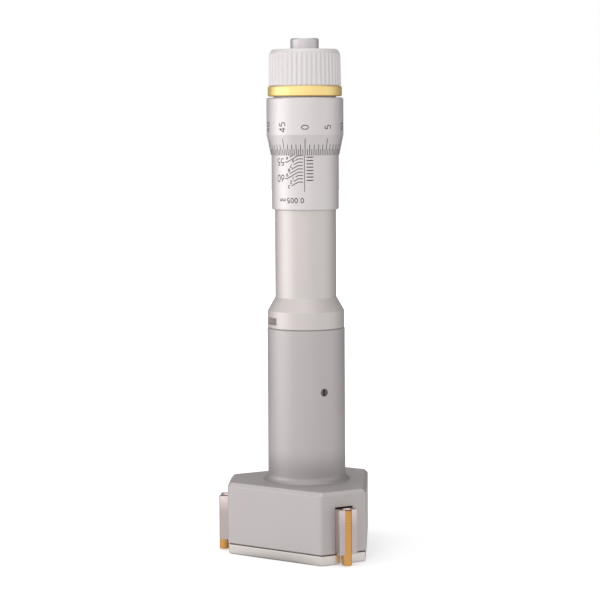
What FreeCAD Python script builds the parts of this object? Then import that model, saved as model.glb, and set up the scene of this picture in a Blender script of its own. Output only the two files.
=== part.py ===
import FreeCAD, Part
import math
import os

os.makedirs("parts", exist_ok=True)

# Inside micrometer with three anvils, in millimetres. It stands on the flat
# underside of its head at z = 0, and the spindle axis is Z. A bearing is an
# angle about Z: 0 faces the index line, -Y, and it grows towards +X.

# Measured diameters: the range and the reading it is built at
low_reading = 50.0
high_reading = 63.0
rest_reading = 55.0

# One millimetre of rod travel changes the diameter by one millimetre
cone_slope = 0.5
travel_up = rest_reading - low_reading
travel_down = high_reading - rest_reading
anvil_in = cone_slope * travel_up
anvil_out = cone_slope * travel_down

# Fits, as radial clearances or gaps
running = 0.04
guide_gap = 0.05
end_gap = 0.15

# Head block: six sides, the short ones carry the anvils
anvil_count = 3
anvil_pitch = 360.0 / anvil_count
anvil_bearing = 27.35
short_side = 24.2
long_side = 18.77
corner_radius = 1.2
cover_top = 3.46
cover_inset = 0.3
cover_bottom_edge = 0.5
cover_top_edge = 0.25
block_top = 22.35
block_chamfer = 1.05

# Column of the head and the tube on top of it, whose spigot sits in the column
column_radius = 12.0
column_height = 47.58
column_top = block_top + column_height
column_root = 4.5
band_radius = 11.84
band_height = 5.34
band_top = column_top + band_height
taper_height = 4.19
neck_radius = 9.45
neck_start = band_top + taper_height
neck_length = 28.94
neck_top = neck_start + neck_length
spigot_radius = 9.0
spigot_length = 23.43
spigot_bottom = column_top - spigot_length
spigot_wall = 4.2
groove_height = 0.25
groove_depth = 0.35

# Spanner slots in the band
slot_bearing = -69.0
slot_height = 2.2
slot_rise = 1.27
slot_bottom = column_top + slot_rise
slot_half_length = 3.9
slot_flat = 10.95

# Anvils and contact pins
anvil_width = 6.0
anvil_height = 13.75
anvil_bottom = cover_top + running
anvil_top = anvil_bottom + anvil_height
slot_head_room = 0.3
anvil_slot_top = anvil_top + slot_head_room
anvil_edge = 0.2
pin_radius = 1.45
pin_reach = rest_reading / 2.0
pin_stand = 0.45
pin_centre = pin_reach - pin_radius
pin_bottom = 0.15
pin_top_gap = 0.4
pin_top = anvil_top - pin_top_gap
anvil_face = pin_reach - pin_stand

# Measuring cone and push rod, joined by a tenon
cone_tip_radius = 2.0
cone_tip = 10.3
cone_length = 15.0
cone_back = cone_tip + cone_length
cone_rim = 1.0
cone_radius = cone_tip_radius + cone_slope * cone_length
tenon_radius = 2.5
tenon_length = 7.0
rod_radius = 4.0
rod_length = 70.7
rod_top = cone_back + rod_length
rod_edge = 0.4
ball_radius = 1.6
ball_rise = 0.3
chamber_gap = 0.25
chamber_head_room = 0.7
chamber_radius = cone_radius + chamber_gap
chamber_top = cone_back + cone_rim + travel_up + chamber_head_room

# Bushes that guide the push rod, with a flange at the upper end
bush_radius = 5.6
bush_length = 12.0
flange_radius = 7.2
flange_height = 1.5
lower_flange = spigot_bottom - flange_height
upper_bush_rise = 7.54
upper_flange = neck_start + upper_bush_rise
key_radius = 1.0
key_height = lower_flange - bush_length / 2.0
key_tip = 3.3

# Sleeves: the inner one stands on the tube, the scale is on the outer one
sleeve_radius = 10.33
sleeve_lap = 2.0
sleeve_length = 22.6
sleeve_bottom = neck_top - sleeve_lap
sleeve_top = sleeve_bottom + sleeve_length
sleeve_edge = 0.3
inner_bottom = upper_flange + flange_height
inner_rise = 13.1
inner_stand = 0.4
inner_shoulder = neck_top + inner_rise
inner_top = sleeve_top + inner_stand
inner_neck = 7.5
thread_radius = 5.0
thread_lead = 4.4
thread_start = neck_top - thread_lead
relief_radius = 5.3

# Thimble and spindle. The reading edge stands at 55 mm on the scale.
thimble_lap = 5.85
thimble_edge = sleeve_top - thimble_lap
thimble_radius = 11.8
thimble_bevel = 6.15
thimble_lip = 10.5
thimble_head_room = 0.6
thimble_roof = inner_top + travel_down + thimble_head_room
thimble_roof_thickness = 2.2
thimble_top = thimble_roof + thimble_roof_thickness
thimble_corner = 0.4
thimble_bore = sleeve_radius + running
spindle_tip = rod_top + ball_rise + ball_radius + running
spindle_nose = 3.0
nose_height = 2.0
spindle_edge = 0.4
stub_radius = 3.2
stub_height = 1.8
stub_top = thimble_top + stub_height

# Ratchet stop
knob_height = 14.9
knob_bottom = thimble_top + end_gap
knob_top = knob_bottom + knob_height
knob_roof = 2.25
knob_ceiling = knob_top - knob_roof
knob_cavity = 9.0
knob_radius = 11.13
knob_waist = 10.92
knob_shoulder_drop = 1.85
knob_shoulder = knob_top - knob_shoulder_drop
knob_brow = 10.67
knob_brow_drop = 0.95
knob_brow_top = knob_top - knob_brow_drop
knob_crown = 9.95
skirt_radius = 10.6
skirt_edge = 0.2
ring_height = 3.1
ring_rise = 0.65
ring_bottom = knob_bottom + ring_rise
ring_top = ring_bottom + ring_height
ring_radius = 11.37
ring_edge = 0.3
flute_count = 46
flute_bearing = -2.8
flute_radius = 0.75
flute_depth = 0.26
shank_radius = 3.7
button_radius = 4.34
button_height = 3.3
button_gap = 0.05
button_bottom = knob_top + button_gap
button_top = button_bottom + button_height
button_edge = 0.4

# Ratchet teeth: crown below, pawl ring above, a gap between their crests
tooth_count = 16
tooth_height = 0.8
tooth_inner = 5.4
tooth_outer = 8.5
crest_gap = 0.1
crown_root = stub_top
pawl_root = crown_root + 2.0 * tooth_height + crest_gap
pawl_thickness = 2.3
pawl_top = pawl_root + pawl_thickness
pawl_gap = 0.4
pawl_bore = shank_radius + pawl_gap
lug_half = 1.2
lug_reach = 0.8

# Springs of drawn wire, as mean radius, wire and turns
slip_mean = 6.3
slip_wire = 0.9
slip_turns = 3.5
return_mean = 1.15
return_wire = 0.42
return_turns = 6


def vector(x, y, z):
    return FreeCAD.Vector(x, y, z)


def turned(profile):
    """Solid of revolution about Z from a closed outline of radius and height."""
    points = [vector(r, 0, z) for r, z in profile]
    points.append(points[0])
    face = Part.Face(Part.makePolygon(points))
    return face.revolve(vector(0, 0, 0), vector(0, 0, 1), 360)


def rod(radius, bottom, top, x=0.0):
    """Upright cylinder between two heights, x from the axis."""
    return Part.makeCylinder(radius, top - bottom, vector(x, 0, bottom))


def radial_rod(radius, inner, outer, height):
    """Cylinder along +X between two distances from the axis."""
    start = vector(inner, 0, height)
    return Part.makeCylinder(radius, outer - inner, start, vector(1, 0, 0))


def block(x_from, x_to, half_width, z_from, z_to):
    """Box along +X, centred on the XZ plane."""
    corner = vector(x_from, -half_width, z_from)
    return Part.makeBox(x_to - x_from, 2.0 * half_width, z_to - z_from, corner)


def at_bearing(shape, bearing):
    """Copy of a shape drawn along +X, turned to a bearing."""
    copy = shape.copy()
    copy.rotate(vector(0, 0, 0), vector(0, 0, 1), bearing - 90.0)
    return copy


def at_anvils(shape, offset=0.0):
    """One copy of a shape for each anvil direction."""
    bearings = [anvil_bearing + offset + k * anvil_pitch for k in range(anvil_count)]
    return [at_bearing(shape, bearing) for bearing in bearings]


def upright_edges(shape):
    return [e for e in shape.Edges if e.BoundBox.ZLength > 1.0 and e.BoundBox.XLength < 0.01]


def outline_edges(shape, height):
    """Edges of the outer outline that lie at one height."""
    flat = [e for e in shape.Edges if e.BoundBox.ZLength < 0.001]
    return [e for e in flat if abs(e.BoundBox.ZMin - height) < 0.001]


def head_prism(inset, bottom, top, rounding):
    """Six-sided prism of the head, with its upright corners rounded."""
    angles = [math.radians(anvil_bearing - 90.0 + 60.0 * k) for k in range(6)]
    sides = [(long_side if k % 2 else short_side) - inset for k in range(6)]
    corners = []
    for k in range(6):
        a, b = angles[k], angles[(k + 1) % 6]
        p, q = sides[k], sides[(k + 1) % 6]
        turn = math.sin(b - a)
        x = (p * math.sin(b) - q * math.sin(a)) / turn
        y = (q * math.cos(a) - p * math.cos(b)) / turn
        corners.append(vector(x, y, bottom))
    corners.append(corners[0])
    prism = Part.Face(Part.makePolygon(corners)).extrude(vector(0, 0, top - bottom))
    return prism.makeFillet(rounding, upright_edges(prism))


def spring(mean_radius, wire, start, end, turns):
    """Coil of square wire about Z, with its outer faces at start and end."""
    height = end - start - wire
    helix = Part.makeHelix(height / turns, height, mean_radius)
    half = wire / 2.0
    corners = [(-half, -half), (half, -half), (half, half), (-half, half), (-half, -half)]
    section = Part.makePolygon([vector(mean_radius + r, 0, z) for r, z in corners])
    coil = Part.Wire(helix).makePipeShell([section], True, True)
    coil.translate(vector(0, 0, start + half))
    return coil


def tooth_ring(root, upwards):
    """Ring of saw teeth that rise from root, or hang from it."""
    sign = 1.0 if upwards else -1.0
    step = 2.0 * math.pi / tooth_count
    teeth = []
    for k in range(tooth_count):
        low, high = step * k, step * (k + 1)
        wires = []
        for radius in (tooth_inner, tooth_outer):
            foot = vector(radius * math.cos(low), radius * math.sin(low), root)
            heel = vector(radius * math.cos(high), radius * math.sin(high), root)
            crest = heel + vector(0, 0, sign * tooth_height)
            wires.append(Part.makePolygon([foot, heel, crest, foot]))
        teeth.append(Part.makeLoft(wires, True, True))
    return teeth


pieces = {}

# Head housing: block and column in one, with a chamber for the cone
housing = head_prism(0.0, cover_top, block_top, corner_radius)
housing = housing.makeChamfer(block_chamfer, outline_edges(housing, block_top))
column_foot_depth = 2.0
column_foot = block_top - column_foot_depth
column = turned([
    (0, column_foot),
    (column_radius, column_foot),
    (column_radius, column_top - groove_height),
    (column_radius - groove_depth, column_top),
    (0, column_top),
])
housing = housing.fuse(column).removeSplitter()
round_edges = [e for e in outline_edges(housing, block_top) if hasattr(e.Curve, "Radius")]
root_edges = [e for e in round_edges if abs(e.Curve.Radius - column_radius) < 0.01]
housing = housing.makeFillet(column_root, root_edges)
housing = housing.cut(turned([
    (0, cover_top - 1.0),
    (chamber_radius, cover_top - 1.0),
    (chamber_radius, chamber_top),
    (bush_radius, chamber_top),
    (bush_radius, lower_flange),
    (flange_radius, lower_flange),
    (flange_radius, spigot_bottom),
    (spigot_radius, spigot_bottom),
    (spigot_radius, column_top + 1.0),
    (0, column_top + 1.0),
]))
anvil_slot = block(0, short_side + 2.0, anvil_width / 2.0 + guide_gap, cover_top - 1.0, anvil_slot_top)
housing = housing.cut(at_anvils(anvil_slot))

# Bottom cover, with a well for the cone tip and a notch for each pin
cover = head_prism(cover_inset, 0.0, cover_top, corner_radius - cover_inset)
cover = cover.makeFillet(cover_bottom_edge, outline_edges(cover, 0.0))
cover = cover.makeChamfer(cover_top_edge, outline_edges(cover, cover_top))
well_side_gap = 1.2
well_floor_gap = 0.5
well_radius = cone_tip_radius + well_side_gap
well_bottom = cone_tip - travel_down - well_floor_gap
cover = cover.cut(rod(well_radius, well_bottom, cover_top + 1.0))
notch_gap = 0.12
notch_half = pin_radius + notch_gap
notch_spare = 0.1
notch_end = pin_centre - anvil_in - notch_spare
notch = rod(notch_half, -1.0, cover_top + 1.0, notch_end)
notch = notch.fuse(block(notch_end, short_side + 2.0, notch_half, -1.0, cover_top + 1.0))
cover = cover.cut(at_anvils(notch))

# Cover screws: countersunk and slotted, halfway between the anvils
screw_radius = 1.0
screw_head = 1.9
screw_from_axis = 14.4
screw_sunk = 0.1
screw_rim_height = 0.2
screw_bite = 5.54
screw_slot_half = 0.25
screw_slot_top = 0.7
screw_rim = screw_sunk + screw_rim_height
screw_neck = screw_rim + screw_head - screw_radius
screw_end = cover_top + screw_bite
between_anvils = anvil_pitch / 2.0
screw_body = turned([
    (0, screw_sunk),
    (screw_head, screw_sunk),
    (screw_head, screw_rim),
    (screw_radius, screw_neck),
    (screw_radius, screw_end),
    (0, screw_end),
])
screw_body.translate(vector(screw_from_axis, 0, 0))
screw_hole = screw_body.fuse(rod(screw_head, -1.0, screw_sunk, screw_from_axis))
slot_end = 1.2 * screw_head
slot_from, slot_to = screw_from_axis - slot_end, screw_from_axis + slot_end
screw_slot = block(slot_from, slot_to, screw_slot_half, 0.0, screw_slot_top)
screw = screw_body.cut(screw_slot)
cover = cover.cut(at_anvils(screw_hole, between_anvils))
housing = housing.cut(at_anvils(screw_body, between_anvils))
pieces["cover_screws"] = Part.makeCompound(at_anvils(screw, between_anvils))

# Spring posts: pressed into the cover, each one stops a return spring
post_radius = 1.0
post_spacing = 6.15
post_sunk = 1.86
post_rise = 3.0
post_centre = pin_centre - post_spacing
post_bottom = cover_top - post_sunk
post_top = anvil_bottom + post_rise
post = rod(post_radius, post_bottom, post_top, post_centre)
cover = cover.cut(at_anvils(post))
pieces["spring_posts"] = Part.makeCompound(at_anvils(post))
pieces["bottom_cover"] = cover

# Body tube: spigot in the column, band, cone and neck
tube_bore = spigot_radius - spigot_wall
tube = turned([
    (tube_bore, spigot_bottom),
    (spigot_radius, spigot_bottom),
    (spigot_radius, column_top),
    (band_radius - groove_depth, column_top),
    (band_radius, column_top + groove_height),
    (band_radius, band_top),
    (neck_radius, neck_start),
    (neck_radius, neck_top),
    (flange_radius, neck_top),
    (flange_radius, upper_flange),
    (bush_radius, upper_flange),
    (bush_radius, upper_flange - bush_length),
    (tube_bore, upper_flange - bush_length),
])
slot_top = slot_bottom + slot_height
spanner_slot = block(slot_flat, column_radius + 2.0, slot_half_length, slot_bottom, slot_top)
for side in (0.0, 180.0):
    tube = tube.cut(at_bearing(spanner_slot, slot_bearing + side))

# Head set screw: a slotted grub whose dog holds the spigot
grub_bearing = 27.2
grub_rise = 4.34
grub_height = spigot_bottom + grub_rise
grub_radius = 1.2
grub_sunk = 0.25
dog_radius = 0.8
dog_length = 0.6
grub_outer = column_radius - grub_sunk
dog_tip = spigot_radius - dog_length
dog = radial_rod(dog_radius, dog_tip, spigot_radius, grub_height)
grub = radial_rod(grub_radius, spigot_radius, grub_outer, grub_height).fuse(dog)
grub_slot_depth = 0.7
slot_floor = grub_outer - grub_slot_depth
slot_half = 0.225
slot_base = grub_height - slot_half
grub_slot = block(slot_floor, column_radius, 2.0 * grub_radius, slot_base, slot_base + 2.0 * slot_half)
grub_hole = radial_rod(grub_radius, spigot_radius - 0.3, column_radius + 1.0, grub_height)
dog_hole = radial_rod(dog_radius, dog_tip, spigot_radius + 0.5, grub_height)
housing = housing.cut(at_bearing(grub_hole, grub_bearing))
tube = tube.cut(at_bearing(dog_hole, grub_bearing))
pieces["head_set_screw"] = at_bearing(grub.cut(grub_slot), grub_bearing)
pieces["head_housing"] = housing
pieces["body_tube"] = tube

# Guide bushes: a flanged bronze bush at each end of the rod's straight run
def guide_bush(flange_bottom):
    bore = rod_radius + running
    return turned([
        (bore, flange_bottom - bush_length),
        (bush_radius, flange_bottom - bush_length),
        (bush_radius, flange_bottom),
        (flange_radius, flange_bottom),
        (flange_radius, flange_bottom + flange_height),
        (bore, flange_bottom + flange_height),
    ])


key = radial_rod(key_radius, key_tip, bush_radius, key_height)
key = key.common(rod(bush_radius, key_height - 2.0, key_height + 2.0))
key_bearing = 180.0
pieces["lower_bush"] = guide_bush(lower_flange).cut(at_bearing(key, key_bearing))
pieces["upper_bush"] = guide_bush(upper_flange)
pieces["rod_key"] = at_bearing(key, key_bearing)

# Inner sleeve: carries the spindle thread, split at the top for the nut
inner = turned([
    (relief_radius, inner_bottom),
    (flange_radius, inner_bottom),
    (flange_radius, neck_top),
    (neck_radius, neck_top),
    (neck_radius, inner_shoulder),
    (inner_neck, inner_shoulder),
    (inner_neck, inner_top),
    (thread_radius + running, inner_top),
    (thread_radius + running, thread_start),
    (relief_radius, thread_start),
])
split_half = 0.3
split_rise = 1.0
split = block(0, neck_radius + 1.0, split_half, inner_shoulder + split_rise, inner_top + 1.0)
pieces["inner_sleeve"] = inner.cut(at_anvils(split))
nut_rise = 0.6
nut_drop = 0.2
nut_gap = 0.15
nut_bottom = inner_shoulder + nut_rise
nut_top = inner_top - nut_drop
nut_radius = neck_radius - nut_gap
nut_edge = 0.4
nut = turned([
    (inner_neck, nut_bottom),
    (nut_radius, nut_bottom),
    (nut_radius, nut_top - nut_edge),
    (nut_radius - nut_edge, nut_top),
    (inner_neck, nut_top),
])
notch_depth = 1.2
notch_width = 1.6
nut_notch = block(inner_neck - 1.0, nut_radius + 1.0, notch_width / 2.0, nut_top - notch_depth, inner_top)
nut_notches = [at_bearing(nut_notch, 90.0 * k) for k in range(4)]
pieces["adjusting_nut"] = nut.cut(nut_notches)

# Outer sleeve: the scale sits on this thin tube
pieces["outer_sleeve"] = turned([
    (neck_radius, sleeve_bottom),
    (sleeve_radius - sleeve_edge, sleeve_bottom),
    (sleeve_radius, sleeve_bottom + sleeve_edge),
    (sleeve_radius, sleeve_top),
    (neck_radius, sleeve_top),
])

# Measuring cone, with a blind hole for the tenon of the rod
tenon_bottom = cone_back - tenon_length
cone_top = cone_back + cone_rim
pieces["measuring_cone"] = turned([
    (0, cone_tip),
    (cone_tip_radius, cone_tip),
    (cone_radius, cone_back),
    (cone_radius, cone_top),
    (tenon_radius, cone_top),
    (tenon_radius, tenon_bottom),
    (0, tenon_bottom),
])

# Push rod, with a keyway for the full travel and a cup for the ball
push_rod = turned([
    (0, tenon_bottom),
    (tenon_radius, tenon_bottom),
    (tenon_radius, cone_top),
    (rod_radius, cone_top),
    (rod_radius, rod_top - rod_edge),
    (rod_radius - rod_edge, rod_top),
    (0, rod_top),
])
keyway_spare = 0.4
keyway_bottom = key_height - key_radius - travel_up - keyway_spare
keyway_top = key_height + key_radius + travel_down + keyway_spare
keyway = block(key_tip - 0.2, rod_radius + 1.0, key_radius + running, keyway_bottom, keyway_top)
push_rod = push_rod.cut(at_bearing(keyway, key_bearing))
ball = Part.makeSphere(ball_radius, vector(0, 0, rod_top + ball_rise))
pieces["push_rod"] = push_rod.cut(ball)
pieces["thrust_ball"] = ball

# Spindle: long screw with a nose that presses the ball, and a stub on top
stud_radius = 2.0
stud_reach = 7.0
stud_hole_bottom = thimble_roof - stud_reach
thread_bottom = spindle_tip + nose_height
pieces["spindle"] = turned([
    (0, spindle_tip),
    (spindle_nose, spindle_tip),
    (spindle_nose, thread_bottom),
    (thread_radius - spindle_edge, thread_bottom),
    (thread_radius, thread_bottom + spindle_edge),
    (thread_radius, thimble_roof),
    (stub_radius, thimble_roof),
    (stub_radius, stub_top),
    (stud_radius, stub_top),
    (stud_radius, stud_hole_bottom),
    (0, stud_hole_bottom),
])

# Thimble: a cup over the sleeve, bevelled towards its reading edge
pieces["thimble"] = turned([
    (thimble_bore, thimble_edge),
    (thimble_lip, thimble_edge),
    (thimble_radius, thimble_edge + thimble_bevel),
    (thimble_radius, thimble_top - thimble_corner),
    (thimble_radius - thimble_corner, thimble_top),
    (stub_radius, thimble_top),
    (stub_radius, thimble_roof),
    (thimble_bore, thimble_roof),
])

# Ratchet crown: its saw teeth point up, the spindle stub centres it
crown = turned([
    (stub_radius, thimble_top),
    (tooth_outer, thimble_top),
    (tooth_outer, crown_root),
    (stub_radius, crown_root),
])
pieces["ratchet_crown"] = crown.fuse(tooth_ring(crown_root, True)).removeSplitter()

# Ratchet screw: clamps the crown, carries the knob and shows as a button
stud_end_gap = 1.0
stud_end = stud_hole_bottom + stud_end_gap
pieces["ratchet_screw"] = turned([
    (0, stud_end),
    (stud_radius, stud_end),
    (stud_radius, stub_top),
    (shank_radius, stub_top),
    (shank_radius, button_bottom),
    (button_radius, button_bottom),
    (button_radius, button_top - button_edge),
    (button_radius - button_edge, button_top),
    (0, button_top),
])

# Ratchet knob: fluted cup, slightly tapered, with two inner keyways
knob = turned([
    (knob_cavity, knob_bottom),
    (skirt_radius - skirt_edge, knob_bottom),
    (skirt_radius, knob_bottom + skirt_edge),
    (skirt_radius, ring_top),
    (knob_radius, ring_top),
    (knob_waist, knob_shoulder),
    (knob_brow, knob_brow_top),
    (knob_crown, knob_top),
    (shank_radius + running, knob_top),
    (shank_radius + running, knob_ceiling),
    (knob_cavity, knob_ceiling),
])
lug_inner = knob_cavity - 1.0
lug_outer = knob_cavity + lug_reach
lug_way = block(lug_inner, lug_outer, lug_half, knob_bottom - 1.0, pawl_top + 2.0)
knob = knob.cut([at_bearing(lug_way, 90.0), at_bearing(lug_way, -90.0)])
lean = math.degrees(math.atan((knob_radius - knob_waist) / (knob_shoulder - ring_top)))
flute_centre = knob_radius + flute_radius - flute_depth
flute = rod(flute_radius, ring_top, knob_top + 1.0, flute_centre)
flute.rotate(vector(flute_centre, 0, ring_top), vector(0, 1, 0), -lean)
flutes = []
for k in range(flute_count):
    flutes.append(at_bearing(flute, flute_bearing + 360.0 * k / flute_count))
pieces["ratchet_knob"] = knob.cut(flutes)

# Colour ring: pressed on the skirt of the knob
pieces["colour_ring"] = turned([
    (skirt_radius, ring_bottom),
    (ring_radius - ring_edge, ring_bottom),
    (ring_radius, ring_bottom + ring_edge),
    (ring_radius, ring_top - ring_edge),
    (ring_radius - ring_edge, ring_top),
    (skirt_radius, ring_top),
])

# Pawl ring: its teeth hang down, two lugs key it to the knob
pawl = turned([
    (pawl_bore, pawl_root),
    (knob_cavity, pawl_root),
    (knob_cavity, pawl_top),
    (pawl_bore, pawl_top),
])
lug = block(lug_inner, lug_outer, lug_half, pawl_root, pawl_top)
pawl = pawl.fuse([at_bearing(lug, 90.0), at_bearing(lug, -90.0)])
pieces["ratchet_pawl_ring"] = pawl.fuse(tooth_ring(pawl_root, False)).removeSplitter()
pieces["ratchet_spring"] = spring(slip_mean, slip_wire, pawl_top, knob_ceiling, slip_turns)

# Anvils: a guide bar with a slanted nose on the cone, a groove for the pin
# and a pocket underneath for its return spring
nose_rise = 3.6
nose_contact = anvil_top - nose_rise
nose = cone_tip_radius + cone_slope * (nose_contact - cone_tip) + guide_gap
half_width = anvil_width / 2.0
nose_length = half_width / math.tan(math.radians(anvil_pitch / 2.0))
plan = [
    (nose, 0),
    (nose + nose_length, -half_width),
    (anvil_face, -half_width),
    (anvil_face, half_width),
    (nose + nose_length, half_width),
    (nose, 0),
]
bar = Part.Face(Part.makePolygon([vector(x, y, anvil_bottom) for x, y in plan]))
bar = bar.extrude(vector(0, 0, anvil_top - anvil_bottom))
front_edges = [e for e in bar.Edges if e.BoundBox.XMin > anvil_face - 0.01]
bar = bar.makeChamfer(anvil_edge, front_edges)
rise = nose_rise + 1.4
slant = [
    (nose - rise * cone_slope, nose_contact - rise),
    (nose + rise * cone_slope, nose_contact + rise),
    (nose - rise * cone_slope, nose_contact + rise),
    (nose - rise * cone_slope, nose_contact - rise),
]
wedge = Part.Face(Part.makePolygon([vector(x, -anvil_width, z) for x, z in slant]))
bar = bar.cut(wedge.extrude(vector(0, 2.0 * anvil_width, 0)))
pin_groove = rod(pin_radius, anvil_bottom - 1.0, anvil_top + 1.0, pin_centre)
bar = bar.cut(pin_groove)
pocket_length = 9.9
pocket_spare = 0.1
pocket_inner = post_centre - pocket_length
pocket_outer = post_centre + post_radius + anvil_in + pocket_spare
pocket_side = 0.55
pocket_half = return_mean + pocket_side
pocket_top = anvil_bottom + 2.0 * pocket_half
bar = bar.cut(block(pocket_inner, pocket_outer, pocket_half, anvil_bottom - 1.0, pocket_top))
contact_pin = rod(pin_radius, pin_bottom, pin_top, pin_centre)
coil_start = pocket_inner + running
coil_end = post_centre - post_radius - running
coil = spring(return_mean, return_wire, coil_start, coil_end, return_turns)
coil.rotate(vector(0, 0, 0), vector(0, 1, 0), 90.0)
coil.translate(vector(0, 0, anvil_bottom + pocket_half - 0.15))
bars = at_anvils(bar)
pins = at_anvils(contact_pin)
coils = at_anvils(coil)
for k in range(anvil_count):
    number = str(k + 1)
    pieces["anvil_" + number] = bars[k]
    pieces["contact_pin_" + number] = pins[k]
    pieces["return_spring_" + number] = coils[k]

for name, shape in pieces.items():
    shape.exportStep("parts/" + name + ".step")
    print(name, "valid" if shape.isValid() else "NOT VALID", len(shape.Solids), round(shape.Volume, 1))
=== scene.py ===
# %% [markdown]
# # An inside micrometer on a white table
# The CAD model says where every solid sits and how it moves. This script gives
# the pieces their looks. Turned and milled pieces that show are made again here
# as fine surfaces, because their CAD meshes are coarse on curves. Pieces that
# hide inside keep their CAD mesh and only get a finish. All sizes are written
# in millimetres and turned into metres when a mesh is made.

# %% Load the frame
import math

import bmesh
import bpy
import numpy as np
from mathutils import Matrix, Vector


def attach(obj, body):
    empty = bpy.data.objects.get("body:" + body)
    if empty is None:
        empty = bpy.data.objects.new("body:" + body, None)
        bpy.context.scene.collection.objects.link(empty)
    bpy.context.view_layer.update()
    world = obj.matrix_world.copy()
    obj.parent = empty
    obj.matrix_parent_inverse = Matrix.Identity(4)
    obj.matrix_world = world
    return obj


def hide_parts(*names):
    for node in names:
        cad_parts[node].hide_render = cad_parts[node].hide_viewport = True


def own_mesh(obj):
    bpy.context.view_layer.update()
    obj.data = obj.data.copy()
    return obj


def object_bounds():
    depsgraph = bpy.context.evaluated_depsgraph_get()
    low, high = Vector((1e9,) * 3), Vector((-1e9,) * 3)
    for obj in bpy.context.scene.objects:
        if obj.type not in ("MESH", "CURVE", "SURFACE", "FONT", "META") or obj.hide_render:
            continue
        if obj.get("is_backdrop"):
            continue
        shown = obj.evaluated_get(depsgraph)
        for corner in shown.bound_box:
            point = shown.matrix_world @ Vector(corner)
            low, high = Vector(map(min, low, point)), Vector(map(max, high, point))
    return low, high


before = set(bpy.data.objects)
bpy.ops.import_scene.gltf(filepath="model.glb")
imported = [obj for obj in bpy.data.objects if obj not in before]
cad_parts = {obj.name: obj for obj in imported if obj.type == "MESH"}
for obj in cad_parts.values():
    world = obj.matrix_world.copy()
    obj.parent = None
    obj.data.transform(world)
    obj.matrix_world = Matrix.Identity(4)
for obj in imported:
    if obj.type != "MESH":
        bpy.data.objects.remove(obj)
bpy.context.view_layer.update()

MM = 0.001

# %% [markdown]
# ## The camera
# The photograph was taken from in front, a little above the head and with a
# long lens. A camera has a place, a direction and a focal length. Here all
# three come from the edges of the tube and the head, so the picture lines up.

# %% Camera
CAMERA_PLACE = (0.0, -595.504, 134.505)
CAMERA_PITCH, CAMERA_YAW, CAMERA_ROLL = 5.391, -0.177, -0.333
FOCAL_PIXELS, IMAGE_SIDE, SENSOR = 1932.45, 600.0, 36.0


def aim(pitch, yaw, roll):
    """Rotation of a camera that looks along +Y.

    It is turned right by yaw, down by pitch, and then about its own axis by roll.
    """
    p, y, r = np.radians([pitch, yaw, roll])
    ahead = np.array([np.sin(y) * np.cos(p), np.cos(y) * np.cos(p), -np.sin(p)])
    right = np.array([np.cos(y), -np.sin(y), 0.0])
    up = np.cross(right, ahead)
    across = right * np.cos(r) + up * np.sin(r)
    upward = up * np.cos(r) - right * np.sin(r)
    return Matrix(np.stack([across, upward, -ahead], axis=1).tolist())


lens = bpy.data.cameras.new("camera")
lens.sensor_fit = "HORIZONTAL"
lens.sensor_width = SENSOR
lens.lens = FOCAL_PIXELS / IMAGE_SIDE * SENSOR
lens.clip_start, lens.clip_end = 0.01, 50.0
camera = bpy.data.objects.new("camera", lens)
facing = aim(CAMERA_PITCH, CAMERA_YAW, CAMERA_ROLL).to_4x4()
camera.matrix_world = Matrix.Translation(Vector(CAMERA_PLACE) * MM) @ facing
bpy.context.scene.collection.objects.link(camera)
bpy.context.scene.camera = camera
print("lens in mm:", round(lens.lens, 2))

# %% [markdown]
# ## Shells: meshes from formulas
# A turned piece is a profile of radius and height carried round the axis. A
# real edge is never quite sharp, so each corner of a profile is replaced by an
# arc. The arc is worked out for all corners at once, as a rational curve that
# is exactly round, and two support points beside it keep the flats flat when
# the surface is shaded smooth. The result is a grid of points, so a shell is
# one array of points and one list of faces.

# %% Rounded profile
def rounded_path(corners, closed=True, steps=6, support=0.08):
    """Path through corners of (a, b, rounding).

    Each corner C is replaced by an arc from A to B, which lie on its two
    sides at rounding / tan(half the corner's angle). With the weight
    w = sin(half the angle), the point at u is
    ((1-u)^2 A + 2 w u (1-u) C + u^2 B) / ((1-u)^2 + 2 w u (1-u) + u^2).
    """
    rows = np.asarray(corners, float)
    point, rounding = rows[:, :2], rows[:, 2].copy()
    back = np.roll(point, 1, axis=0) - point
    ahead = np.roll(point, -1, axis=0) - point
    if not closed:
        back[0], ahead[-1] = -ahead[0], -back[-1]
        rounding[0] = rounding[-1] = 0.0
    back_length = np.linalg.norm(back, axis=1)[:, None]
    ahead_length = np.linalg.norm(ahead, axis=1)[:, None]
    back, ahead = back / back_length, ahead / ahead_length
    half = np.arccos(np.clip((back * ahead).sum(1), -1.0, 1.0))[:, None] / 2.0
    shortest = np.minimum(back_length, ahead_length)
    reach = np.minimum(rounding[:, None] / np.maximum(np.tan(half), 1e-6), 0.45 * shortest)
    first, last = point + back * reach, point + ahead * reach
    u = np.linspace(0.0, 1.0, steps)[None, :, None]
    weight = np.sin(half)[:, :, None]
    low, mid, high = (1 - u) ** 2, 2 * weight * u * (1 - u), u**2
    arc = (low * first[:, None] + mid * point[:, None] + high * last[:, None]) / (low + mid + high)
    spare = np.minimum(support, 0.2 * (shortest - reach))
    before = (first + back * spare)[:, None]
    after = (last + ahead * spare)[:, None]
    path = np.concatenate([before, arc, after], axis=1).reshape(-1, 2)
    if not closed:
        path = np.concatenate([point[:1], path[steps + 2 : -(steps + 2)], point[-1:]])
    keep = np.concatenate([[True], np.linalg.norm(np.diff(path, axis=0), axis=1) > 1e-6])
    return path[keep]


print("points on a rounded square:", len(rounded_path([(0, 0, 0.1), (1, 0, 0.1), (1, 1, 0.1), (0, 1, 0.1)])))


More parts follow.
